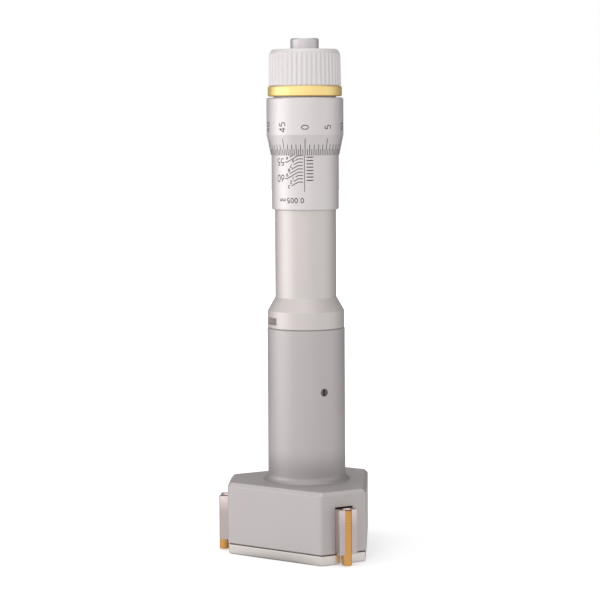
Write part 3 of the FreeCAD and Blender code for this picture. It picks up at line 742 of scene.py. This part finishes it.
def figure(text, height, space=0.22):
    """Paths of a figure, centred on the origin, in millimetres."""
    paths, x = [], 0.0
    for sign in text:
        width, strokes = SIGNS[sign]
        paths += [stroke + [x, 0.0] for stroke in strokes]
        x += width + space
    middle = np.array([(x - space) / 2.0, 0.5])
    return [(path - middle) * height for path in paths]


def placed(paths, x, z, turn):
    """Paths turned by an angle in degrees and moved to arc x and height z."""
    a = math.radians(turn)
    spin = np.array([[math.cos(a), math.sin(a)], [-math.sin(a), math.cos(a)]])
    return [path @ spin + [x, z] for path in paths]


print("signs that can be drawn:", "".join(sorted(SIGNS)))

# %% [markdown]
# ## The two scales
# A tick for each millimetre of bore lies on the left of the index line, with a
# slanted leader to its number, and the half millimetres are on the right. The
# thimble covers the upper ones at rest. They are drawn all the same, and so is
# the index line, because the thimble uncovers them when it rises to 50 mm.

# %% Scale of the sleeve
FIRST, LAST, SCALE_ZERO = 50, 63, 178.0
INDEX_X, INDEX_LOW, INDEX_HIGH, SHIFT_X, SHIFT_Z = -0.05, 112.1, 128.6, -0.15, 0.09
INDEX_LINE, LINE, HALF_LINE, FIVE_LINE, SMALL_LINE = 0.19, 0.25, 0.30, 0.27, 0.20
TICK_START, TICK_END, FIVE_END, HALF_START, HALF_END = -0.50, -1.97, -6.45, 0.55, 2.62
SLANT, LEADERS = 0.545, {0: 3.62, 1: 0.90, 2: 1.45, 3: 2.13, 4: 2.82}
SMALL, LARGE, LARGE_X, LARGE_DOWN, NOTE_HEIGHT = 0.95, 2.0, -8.15, 1.92, 109.4
sleeve_strokes = [([(INDEX_X, INDEX_LOW), (INDEX_X, INDEX_HIGH)], INDEX_LINE)]


def leader(reading):
    """A tick at SCALE_ZERO - reading, then a slant down to the left, longest at the fives."""
    z = SCALE_ZERO - reading
    out = LEADERS[reading % 5]
    path = [(TICK_START, z), (TICK_END, z), (TICK_END - out, z - SLANT * out)]
    return path + [(FIVE_END, z - SLANT * out)] if reading % 5 == 0 else path


def half_tick(reading):
    """A tick half a millimetre below the one of the reading, on the right."""
    z = SCALE_ZERO - 0.5 - reading
    return [(HALF_START, z), (HALF_END, z)]


sleeve_strokes += [(leader(reading), LINE) for reading in range(FIRST, LAST + 1)]
sleeve_strokes += [(half_tick(reading), HALF_LINE) for reading in range(FIRST, LAST)]
for reading in range(FIRST, LAST + 1):
    low = SCALE_ZERO - reading
    step = reading % 5
    if step:
        x, z = -2.86 - 0.69 * step, low - 0.38 - 0.36 * step
        paths = placed(figure(str(reading % 10), SMALL), x, z, 180.0)
        sleeve_strokes += [(path, SMALL_LINE) for path in paths]
    else:
        paths = placed(figure(str(reading), LARGE), LARGE_X, low - LARGE_DOWN, 180.0)
        sleeve_strokes += [(path, FIVE_LINE) for path in paths]
for text, x, height, width in (("0.005", -3.0, 1.45, 0.25), ("mm", -7.45, 1.15, 0.20)):
    paths = placed(figure(text, height, 0.30), x, NOTE_HEIGHT, 180.0)
    sleeve_strokes += [(path, width) for path in paths]
shells = [wrapped(dense(path) + [SHIFT_X, SHIFT_Z], width, on_sleeve) for path, width in sleeve_strokes]
piece("sleeve_marks", joined(shells), "head", "black_fill")

# %% Divisions of the thimble
DIVISION_LINE, TENTH_TOP, EVEN_TOP, ODD_TOP, NUMBER_HEIGHT = 0.23, 128.25, 126.4, 125.0, 131.62
thimble_strokes = []
for division in range(100):
    x = 2.0 * np.pi * THIMBLE * division / 100.0
    top = TENTH_TOP if division % 10 == 0 else (EVEN_TOP if division % 2 == 0 else ODD_TOP)
    thimble_strokes.append(([(x, THIMBLE_EDGE + 0.02), (x, top)], DIVISION_LINE))
for number in range(0, 50, 5):
    x = 2.0 * np.pi * THIMBLE * number / 50.0
    paths = placed(figure(str(number), 2.1, 0.20), x, NUMBER_HEIGHT, 90.0)
    thimble_strokes += [(path, FIVE_LINE) for path in paths]
shells = [wrapped(dense(path, 0.5), width, on_thimble) for path, width in thimble_strokes]
piece("thimble_marks", joined(shells), "thimble", "black_fill")

# %% [markdown]
# ## Effects for the finishes
# Metal is never one even grey. Three effects are shared by the finishes, each
# a node group that puts out values only: a fine grain like blasted or satin
# chrome, rings left by a turning tool, and a slow mottle from handling. The
# material keeps the shader and mixes these into roughness, colour and bump.

# %% Node helpers
def new_group(name, inputs, outputs):
    """Empty node group with float inputs {name: default} and named float outputs."""
    group = bpy.data.node_groups.new(name, "ShaderNodeTree")
    group.interface.new_socket("Place", in_out="INPUT", socket_type="NodeSocketVector")
    for label, value in inputs.items():
        group.interface.new_socket(label, in_out="INPUT", socket_type="NodeSocketFloat").default_value = value
    for label in outputs:
        group.interface.new_socket(label, in_out="OUTPUT", socket_type="NodeSocketFloat")
    return group, group.nodes.new("NodeGroupInput"), group.nodes.new("NodeGroupOutput")


def add(tree, kind, **values):
    """Node of a kind, with properties and unlinked inputs set by name."""
    node = tree.nodes.new(kind)
    for label, value in values.items():
        if hasattr(node, label):
            setattr(node, label, value)
        else:
            node.inputs[label.replace("_", " ")].default_value = value
    return node


def math_node(tree, operation, first, second):
    """Result of a Math node on two sockets or numbers."""
    node = tree.nodes.new("ShaderNodeMath")
    node.operation = operation
    for socket, value in zip(node.inputs, (first, second)):
        if hasattr(value, "links"):
            tree.links.new(value, socket)
        else:
            socket.default_value = value
    return node.outputs[0]


def map_range(tree, source, low, high, at_low, at_high, step="LINEAR"):
    """Node that carries low..high over to at_low..at_high and holds the ends."""
    node = add(tree, "ShaderNodeMapRange", clamp=True, interpolation_type=step)
    for label, value in (("From Min", low), ("From Max", high), ("To Min", at_low), ("To Max", at_high)):
        node.inputs[label].default_value = value
    tree.links.new(source, node.inputs["Value"])
    return node.outputs["Result"]


def mixed(tree, share, first, second):
    """Shader between two others."""
    node = tree.nodes.new("ShaderNodeMixShader")
    for socket, value in zip(node.inputs, (share, first, second)):
        tree.links.new(value, socket)
    return node.outputs[0]


def grain_group():
    """Fine grain: noise at two sizes, centred on zero."""
    group, given, out = new_group("fine_grain", {"Size": 9000.0}, ["Grain"])
    fine = add(group, "ShaderNodeTexNoise", Detail=2.0, Roughness=0.6)
    coarse = add(group, "ShaderNodeTexNoise", Detail=2.0, Roughness=0.5)
    group.links.new(given.outputs["Place"], fine.inputs["Vector"])
    group.links.new(given.outputs["Size"], fine.inputs["Scale"])
    group.links.new(given.outputs["Place"], coarse.inputs["Vector"])
    group.links.new(math_node(group, "MULTIPLY", given.outputs["Size"], 0.28), coarse.inputs["Scale"])
    both = math_node(group, "ADD", fine.outputs["Fac"], coarse.outputs["Fac"])
    group.links.new(math_node(group, "SUBTRACT", both, 1.0), out.inputs["Grain"])
    return group


def lay_group():
    """Tool lines: noise squeezed along one axis, so that it draws fine lines across it."""
    group, given, out = new_group("tool_lines", {"Pitch": 9000.0, "Length": 60.0}, ["Lines"])
    squeeze = add(group, "ShaderNodeVectorMath", operation="MULTIPLY")
    scale = group.nodes.new("ShaderNodeCombineXYZ")
    group.links.new(given.outputs["Length"], scale.inputs["X"])
    group.links.new(given.outputs["Length"], scale.inputs["Y"])
    group.links.new(given.outputs["Pitch"], scale.inputs["Z"])
    group.links.new(given.outputs["Place"], squeeze.inputs[0])
    group.links.new(scale.outputs[0], squeeze.inputs[1])
    noise = add(group, "ShaderNodeTexNoise", Scale=1.0, Detail=3.0, Roughness=0.65)
    group.links.new(squeeze.outputs[0], noise.inputs["Vector"])
    group.links.new(math_node(group, "SUBTRACT", noise.outputs["Fac"], 0.5), out.inputs["Lines"])
    return group


def mottle_group():
    """Slow change over the surface, as plating and handling leave."""
    group, given, out = new_group("slow_mottle", {"Size": 120.0}, ["Mottle"])
    noise = add(group, "ShaderNodeTexNoise", Detail=4.0, Roughness=0.55, Distortion=0.4)
    group.links.new(given.outputs["Place"], noise.inputs["Vector"])
    group.links.new(given.outputs["Size"], noise.inputs["Scale"])
    group.links.new(math_node(group, "SUBTRACT", noise.outputs["Fac"], 0.5), out.inputs["Mottle"])
    return group


GRAIN, LINES, MOTTLE = grain_group(), lay_group(), mottle_group()
print("effects:", GRAIN.name, LINES.name, MOTTLE.name)


# %% [markdown]
# ## One recipe for every metal
# All finishes are the same material with other numbers: a colour, a roughness
# and a share of each effect. The effects move the colour a little between a
# darker and a lighter tone, and add to the roughness and the bump. A number
# that is even over the surface is set on the shader's own socket.

# %% Metal finish
DARKER, LIGHTER, TONE_GAIN = 0.95, 1.05, 4.0
CLOUD_SIZE, LINE_LENGTH, RELIEF = 140.0, 45.0, 0.00002


def metal(name, colour, roughness, metallic=1.0, edge=0.55, grain=0.05, grain_size=9000.0, lines=0.0,
          pitch=9000.0, mottle=0.03, bump=0.02):
    """Metal whose colour, roughness and bump follow the shared effects."""
    material = bpy.data.materials.new(name)
    material.use_nodes = True
    tree = material.node_tree
    shader = tree.nodes["Principled BSDF"]
    shader.inputs["Metallic"].default_value = metallic
    shader.inputs["Specular Tint"].default_value = (edge, edge, edge, 1.0)
    place = tree.nodes.new("ShaderNodeTexCoord").outputs["Object"]

    def effect(group, **values):
        node = tree.nodes.new("ShaderNodeGroup")
        node.node_tree = group
        tree.links.new(place, node.inputs["Place"])
        for label, value in values.items():
            node.inputs[label].default_value = value
        return node.outputs[0]

    def sum_of(*terms):
        """Sum of effects, each times its weight."""
        total = None
        for source, weight in terms:
            part = math_node(tree, "MULTIPLY", source, weight)
            total = part if total is None else math_node(tree, "ADD", total, part)
        return total

    specks = effect(GRAIN, Size=grain_size)
    cloud = effect(MOTTLE, Size=CLOUD_SIZE)
    marks = effect(LINES, Pitch=pitch, Length=LINE_LENGTH)
    shade = sum_of((cloud, mottle * 2.0), (specks, grain), (marks, lines))
    tone = add(tree, "ShaderNodeMix", data_type="RGBA", blend_type="MIX")
    tone.inputs["A"].default_value = (*[c * DARKER for c in colour], 1.0)
    tone.inputs["B"].default_value = (*[min(1.0, c * LIGHTER) for c in colour], 1.0)
    share = math_node(tree, "MULTIPLY", shade, TONE_GAIN)
    tree.links.new(math_node(tree, "ADD", share, 0.5), tone.inputs["Factor"])
    tree.links.new(tone.outputs["Result"], shader.inputs["Base Color"])
    dull = sum_of((specks, grain * 1.6), (cloud, mottle * 2.0), (marks, lines * 1.2))
    tree.links.new(math_node(tree, "ADD", dull, roughness), shader.inputs["Roughness"])
    relief = sum_of((specks, 1.0), (marks, 4.0 * lines))
    rise = add(tree, "ShaderNodeBump", Strength=bump * 10.0, Distance=RELIEF)
    tree.links.new(relief, rise.inputs["Height"])
    tree.links.new(rise.outputs["Normal"], shader.inputs["Normal"])
    return material


# %% [markdown]
# ## The finishes
# The head and the tube are satin chrome, the sleeve and the thimble a duller
# chrome that doesn't blind the reader, and the knob blasted alloy. The ring is
# pale gold anodising, and the pins have a deeper gold coat that is very hard.

# %% Materials
# Colour and roughness of each finish, then what differs from a plain metal
RECIPES = {
    "head_satin": ((0.525, 0.486, 0.484), 0.48,
                   dict(metallic=0.6, edge=0.80, grain=0.08, lines=0.05, mottle=0.05)),
    "tube_satin": ((0.646, 0.598, 0.581), 0.46, dict(metallic=0.6, grain=0.05, lines=0.05, mottle=0.03)),
    "dull_chrome": ((0.705, 0.658, 0.662), 0.47,
                    dict(metallic=0.65, edge=0.30, grain=0.06, lines=0.03, mottle=0.02)),
    "ground_plate": ((0.790, 0.740, 0.705), 0.30, dict(grain=0.03, lines=0.09, pitch=14000.0, mottle=0.03)),
    "anvil_steel": ((0.620, 0.532, 0.517), 0.30, dict(grain=0.03, lines=0.08, pitch=12000.0, mottle=0.03)),
    "black_screw": ((0.16, 0.145, 0.14), 0.40, dict(grain=0.04, lines=0.05)),
    "blasted_alloy": ((0.755, 0.716, 0.719), 0.58,
                      dict(metallic=0.45, edge=0.35, grain=0.16, grain_size=5200.0, mottle=0.02, bump=0.05)),
    "turned_steel": ((0.620, 0.590, 0.600), 0.46,
                     dict(metallic=0.8, edge=0.35, grain=0.03, lines=0.10, mottle=0.02)),
    "gold_anodised": ((1.000, 0.735, 0.310), 0.40,
                      dict(metallic=0.75, edge=0.40, grain=0.04, lines=0.04, mottle=0.02)),
    "gold_carbide": ((0.745, 0.400, 0.130), 0.26, dict(grain=0.03, lines=0.08, pitch=12000.0, mottle=0.03)),
    "spring_wire": ((0.50, 0.49, 0.49), 0.30, dict(grain=0.03, mottle=0.02)),
    "bright_steel": ((0.68, 0.66, 0.65), 0.26, dict(grain=0.03, lines=0.12, mottle=0.02)),
    "bronze": ((0.66, 0.44, 0.22), 0.34, dict(grain=0.04, lines=0.10, mottle=0.04)),
    "black_fill": ((0.05, 0.04, 0.03), 0.55, dict(metallic=0.0, grain=0.10, mottle=0.05)),
}
LOOK = {name: metal(name, colour, rough, **rest) for name, (colour, rough, rest) in RECIPES.items()}
CAD_LOOK = {
    "black_screw": ["spring_posts", "rod_key", "ratchet_crown", "ratchet_pawl_ring"],
    "bright_steel": ["inner_sleeve", "adjusting_nut", "push_rod", "measuring_cone", "thrust_ball", "spindle"],
    "bronze": ["lower_bush", "upper_bush"],
}
for finish, made in finishes.items():
    for target in made:
        target.data.materials.clear()
        target.data.materials.append(LOOK[finish])
for finish, nodes in CAD_LOOK.items():
    for node in nodes:
        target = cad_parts[node]
        for holder in target.material_slots:
            holder.material = LOOK[finish]
        if not target.material_slots:
            target.data.materials.append(LOOK[finish])
print("finishes:", len(LOOK))

# %% [markdown]
# ## Painted shade in the root and the slots
# Shade is painted into the colour in the round root between block and column,
# where it falls in the hollow, and in the milled spanner slots, where part of the
# darkening is also the tone of bare milled steel. A mask over the place goes from
# 0 to 1, and the colour is multiplied by one minus a share of it. Each mask is a
# product of smooth steps of the height or the radius.

# %% Painted shade in the root and the slots
ROOT_SHADE, SLOT_SHADE = 0.27, 0.36
FADE_START, FADE_END = 3.5, 11.5


# Paints shade into a material's colour through a mask
def duller(material, share, bands):
    """Multiplies the colour by 1 - share * mask.

    The mask is the product of bands of (what, from, to, value at from, value at to).
    """
    tree = material.node_tree
    shader = tree.nodes["Principled BSDF"]
    colour = shader.inputs["Base Color"].links[0].from_socket
    place = tree.nodes.new("ShaderNodeTexCoord").outputs["Object"]
    parts = tree.nodes.new("ShaderNodeSeparateXYZ")
    tree.links.new(place, parts.inputs[0])
    flat = add(tree, "ShaderNodeVectorMath", operation="MULTIPLY")
    flat.inputs[1].default_value = (1.0, 1.0, 0.0)
    tree.links.new(place, flat.inputs[0])
    radius = add(tree, "ShaderNodeVectorMath", operation="LENGTH")
    tree.links.new(flat.outputs[0], radius.inputs[0])
    source = {"height": parts.outputs["Z"], "radius": radius.outputs["Value"]}
    mask = share
    for what, low, high, at_low, at_high in bands:
        step = map_range(tree, source[what], low * MM, high * MM, at_low, at_high, "SMOOTHSTEP")
        mask = math_node(tree, "MULTIPLY", step, mask)
    shaded = add(tree, "ShaderNodeVectorMath", operation="SCALE")
    tree.links.new(colour, shaded.inputs[0])
    tree.links.new(math_node(tree, "SUBTRACT", 1.0, mask), shaded.inputs["Scale"])
    tree.links.new(shaded.outputs[0], shader.inputs["Base Color"])


# Painted shade in the root between block and column, fading out up the column
duller(LOOK["head_satin"], ROOT_SHADE, [
    ("height", BLOCK_TOP - 0.02, BLOCK_TOP + 0.15, 0.0, 1.0),
    ("height", BLOCK_TOP + FADE_START, BLOCK_TOP + FADE_END, 1.0, 0.0)])
# Painted shade in the spanner slots, partly also the darker tone of bare milled steel
duller(LOOK["tube_satin"], SLOT_SHADE, [
    ("radius", BAND - 0.35, BAND - 0.02, 1.0, 0.0),
    ("height", SLOT_LOW - 0.1, SLOT_LOW, 0.0, 1.0),
    ("height", SLOT_HIGH, SLOT_HIGH + 0.1, 1.0, 0.0)])
print("shares:", ROOT_SHADE, SLOT_SHADE)

# %% [markdown]
# ## Soft boxes
# Satin metal shows its surroundings, only blurred. So the walls of this studio
# aren't even: soft boxes are painted on them. Each one is a direction, and its
# light falls off to nothing at its half width, by the smooth step 3x^2 - 2x^3
# of the cosine of the angle from it. The ceiling is the strongest, and then the
# left wall, the right wall and the front. Behind the object it is dim, so that
# a cylinder turns darker towards its edges. One node group turns a direction
# into a level, and both the walls and the far table use it.

# %% Soft boxes
# Bearing and elevation of the middle, half width, all in degrees, and strength
SOFT_BOXES = [
    (-75.0, 8.0, 38.0, 0.64), (-15.0, 8.0, 38.0, 0.50), (15.0, 8.0, 38.0, 0.63), (45.0, 8.0, 38.0, 0.30),
    (75.0, 8.0, 38.0, 0.61), (105.0, 8.0, 38.0, 0.25), (-90.0, 45.0, 48.0, 0.44), (-30.0, 45.0, 48.0, 0.15),
    (30.0, 45.0, 48.0, 0.31), (0.0, 90.0, 45.0, 1.22),
]
AMBIENT = 0.16


def soft_box_group():
    """Level of light that comes from a direction: the ambient level plus every soft box."""
    group = bpy.data.node_groups.new("soft_boxes", "ShaderNodeTree")
    group.interface.new_socket("Direction", in_out="INPUT", socket_type="NodeSocketVector")
    group.interface.new_socket("Level", in_out="OUTPUT", socket_type="NodeSocketFloat")
    given, out = group.nodes.new("NodeGroupInput"), group.nodes.new("NodeGroupOutput")
    total = AMBIENT
    for side, rise, half, strength in SOFT_BOXES:
        a, e = math.radians(side), math.radians(rise)
        toward = add(group, "ShaderNodeVectorMath", operation="DOT_PRODUCT")
        toward.inputs[1].default_value = (math.sin(a) * math.cos(e), -math.cos(a) * math.cos(e), math.sin(e))
        group.links.new(given.outputs[0], toward.inputs[0])
        edge = math.cos(math.radians(half))
        box = map_range(group, toward.outputs["Value"], edge, 1.0, 0.0, strength, "SMOOTHSTEP")
        total = math_node(group, "ADD", box, total)
    group.links.new(total, out.inputs[0])
    return group


BOXES = soft_box_group()
print("soft boxes:", len(SOFT_BOXES))

# %% [markdown]
# ## Table and room
# The table is a matt white that keeps the object's soft shadow. The camera sees
# it and the walls as plain white: a glow is added to the table, and less of it
# close to the object, where it would drown the shadow. In the metal the near
# table shows as pale grey, with a shadow painted into it at the object's foot,
# and far away it takes on the soft boxes of the wall above it. The walls light
# the object with their soft boxes. The camera sees them white, and so does a
# mirrored ray that runs straight on behind the object, as at the very edge of a cylinder.

# %% Table
TABLE_HALF, TABLE_WHITE = 3000.0, (0.80, 0.80, 0.80, 1.0)
GLOW_NEAR, GLOW_FAR, GLOW_LOW, GLOW_FULL = 0.10, 0.45, 0.36, 1.0
FOOT_NEAR, FOOT_FAR, FOOT_SHADOW, NEAR_TABLE = 0.020, 0.029, 0.30, 0.78
BOXES_NEAR, BOXES_FAR, OBJECT_MIDDLE = 0.08, 0.30, 0.06
square = np.array([[-1.0, -1.0, 0.0], [1.0, -1.0, 0.0], [1.0, 1.0, 0.0], [-1.0, 1.0, 0.0]])
table_shell = (square * TABLE_HALF, [[0, 1, 2, 3]])
floor = bpy.data.objects.new("table_top", mesh_from("table_top", table_shell))
bpy.context.scene.collection.objects.link(floor)
floor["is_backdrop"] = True
table = bpy.data.materials.new("white_table")
table.use_nodes = True
table.cycles.emission_sampling = "NONE"
tree = table.node_tree
tree.nodes.remove(tree.nodes["Principled BSDF"])
white = add(tree, "ShaderNodeBsdfDiffuse")
white.inputs["Color"].default_value = TABLE_WHITE
place = tree.nodes.new("ShaderNodeTexCoord").outputs["Object"]
away = add(tree, "ShaderNodeVectorMath", operation="LENGTH")
tree.links.new(place, away.inputs[0])
glow = add(tree, "ShaderNodeEmission")
glow_level = map_range(tree, away.outputs["Value"], GLOW_NEAR, GLOW_FAR, GLOW_LOW, GLOW_FULL)
tree.links.new(glow_level, glow.inputs["Strength"])
both = tree.nodes.new("ShaderNodeAddShader")
tree.links.new(white.outputs[0], both.inputs[0])
tree.links.new(glow.outputs[0], both.inputs[1])

# %% Table as the metal shows it
lowered = add(tree, "ShaderNodeVectorMath", operation="SUBTRACT")
lowered.inputs[1].default_value = (0.0, 0.0, OBJECT_MIDDLE)
tree.links.new(place, lowered.inputs[0])
outward = add(tree, "ShaderNodeVectorMath", operation="NORMALIZE")
tree.links.new(lowered.outputs[0], outward.inputs[0])
boxes = tree.nodes.new("ShaderNodeGroup")
boxes.node_tree = BOXES
tree.links.new(outward.outputs[0], boxes.inputs[0])
level = add(tree, "ShaderNodeMix", data_type="FLOAT")
# Painted shadow: the table that the metal sees turns darker at the object's foot
near_level = map_range(tree, away.outputs["Value"], FOOT_NEAR, FOOT_FAR, FOOT_SHADOW, NEAR_TABLE)
far_share = map_range(tree, away.outputs["Value"], BOXES_NEAR, BOXES_FAR, 0.0, 1.0)
tree.links.new(near_level, level.inputs["A"])
tree.links.new(boxes.outputs[0], level.inputs["B"])
tree.links.new(far_share, level.inputs["Factor"])
mirrored = tree.nodes.new("ShaderNodeEmission")
tree.links.new(level.outputs["Result"], mirrored.inputs["Strength"])
seen = tree.nodes.new("ShaderNodeLightPath")
in_metal = math_node(tree, "MAXIMUM", seen.outputs["Is Glossy Ray"], seen.outputs["Is Transmission Ray"])
plain = mixed(tree, in_metal, white.outputs[0], mirrored.outputs[0])
shown = mixed(tree, seen.outputs["Is Camera Ray"], plain, both.outputs[0])
tree.links.new(shown, tree.nodes["Material Output"].inputs["Surface"])
floor.data.materials.append(table)
print("side of the table in metres:", 2.0 * TABLE_HALF * MM)

# %% Room
WHITE, CONE_EDGE, CONE_FULL = (1.0, 1.0, 1.0, 1.0), 0.985, 0.997
room = bpy.data.worlds.new("white_room")
bpy.context.scene.world = room
room.use_nodes = True
tree = room.node_tree
tree.nodes.clear()
boxes = tree.nodes.new("ShaderNodeGroup")
boxes.node_tree = BOXES
looking = tree.nodes.new("ShaderNodeTexCoord").outputs["Generated"]
tree.links.new(looking, boxes.inputs[0])
lit = tree.nodes.new("ShaderNodeBackground")
lit.inputs["Color"].default_value = WHITE
tree.links.new(boxes.outputs[0], lit.inputs["Strength"])
open_white = tree.nodes.new("ShaderNodeBackground")
open_white.inputs["Color"].default_value = WHITE
seen = tree.nodes.new("ShaderNodeLightPath")
direction = tree.nodes.new("ShaderNodeSeparateXYZ")
tree.links.new(looking, direction.inputs[0])
straight_behind = map_range(tree, direction.outputs["Y"], CONE_EDGE, CONE_FULL, 0.0, 1.0)
in_metal = math_node(tree, "MULTIPLY", seen.outputs["Is Glossy Ray"], straight_behind)
in_view = math_node(tree, "MAXIMUM", seen.outputs["Is Camera Ray"], seen.outputs["Is Transmission Ray"])
in_view = math_node(tree, "MAXIMUM", in_view, in_metal)
shown = mixed(tree, in_view, lit.outputs[0], open_white.outputs[0])
tree.links.new(shown, tree.nodes.new("ShaderNodeOutputWorld").inputs["Surface"])
print("nodes in the room:", len(tree.nodes))


# %% [markdown]
# ## Lamps
# The soft boxes give the broad reflections. A few area lamps add direction,
# most of it from the left, with a tall one in front and one high behind. They
# are weak, so that a colour renders about as it is written.

# %% Lamps
def soft_lamp(name, angle, height, distance, width, tall, power, aim_height):
    """Area lamp at a bearing and a height, facing the object at aim_height."""
    lamp = bpy.data.lights.new(name, "AREA")
    lamp.shape, lamp.size, lamp.size_y, lamp.energy = "RECTANGLE", width, tall, power
    stand = bpy.data.objects.new(name, lamp)
    a = math.radians(angle)
    place = Vector((distance * math.sin(a), -distance * math.cos(a), height))
    aimed = (Vector((0.0, 0.0, aim_height)) - place).to_track_quat("-Z", "Y")
    stand.matrix_world = Matrix.Translation(place) @ aimed.to_matrix().to_4x4()
    bpy.context.scene.collection.objects.link(stand)


# Name, bearing, height, distance, width, tall, power and the height it aims at, in degrees, metres and watts
LAMPS = [
    ("left_side", -100.0, 0.10, 0.35, 0.30, 0.20, 0.173, 0.03),
    ("left_front", -70.0, 0.10, 0.40, 0.30, 0.20, 0.227, 0.03),
    ("front_left", -40.0, 0.12, 0.45, 0.30, 0.20, 0.133, 0.03),
    ("right_front", 60.0, 0.10, 0.40, 0.30, 0.20, 0.024, 0.03),
    ("tall_front", -20.0, 0.40, 0.70, 0.35, 0.50, 0.45, 0.08),
    ("rear", 175.0, 1.30, 0.75, 0.90, 0.60, 1.8, 0.07),
]
for lamp in LAMPS:
    soft_lamp(*lamp)
bpy.context.scene.view_settings.view_transform = "Standard"

# %% [markdown]
# ## Sizes
# The size of the dressed model is worked out from the bounds of its objects.

# %% Sizes
low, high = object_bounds()
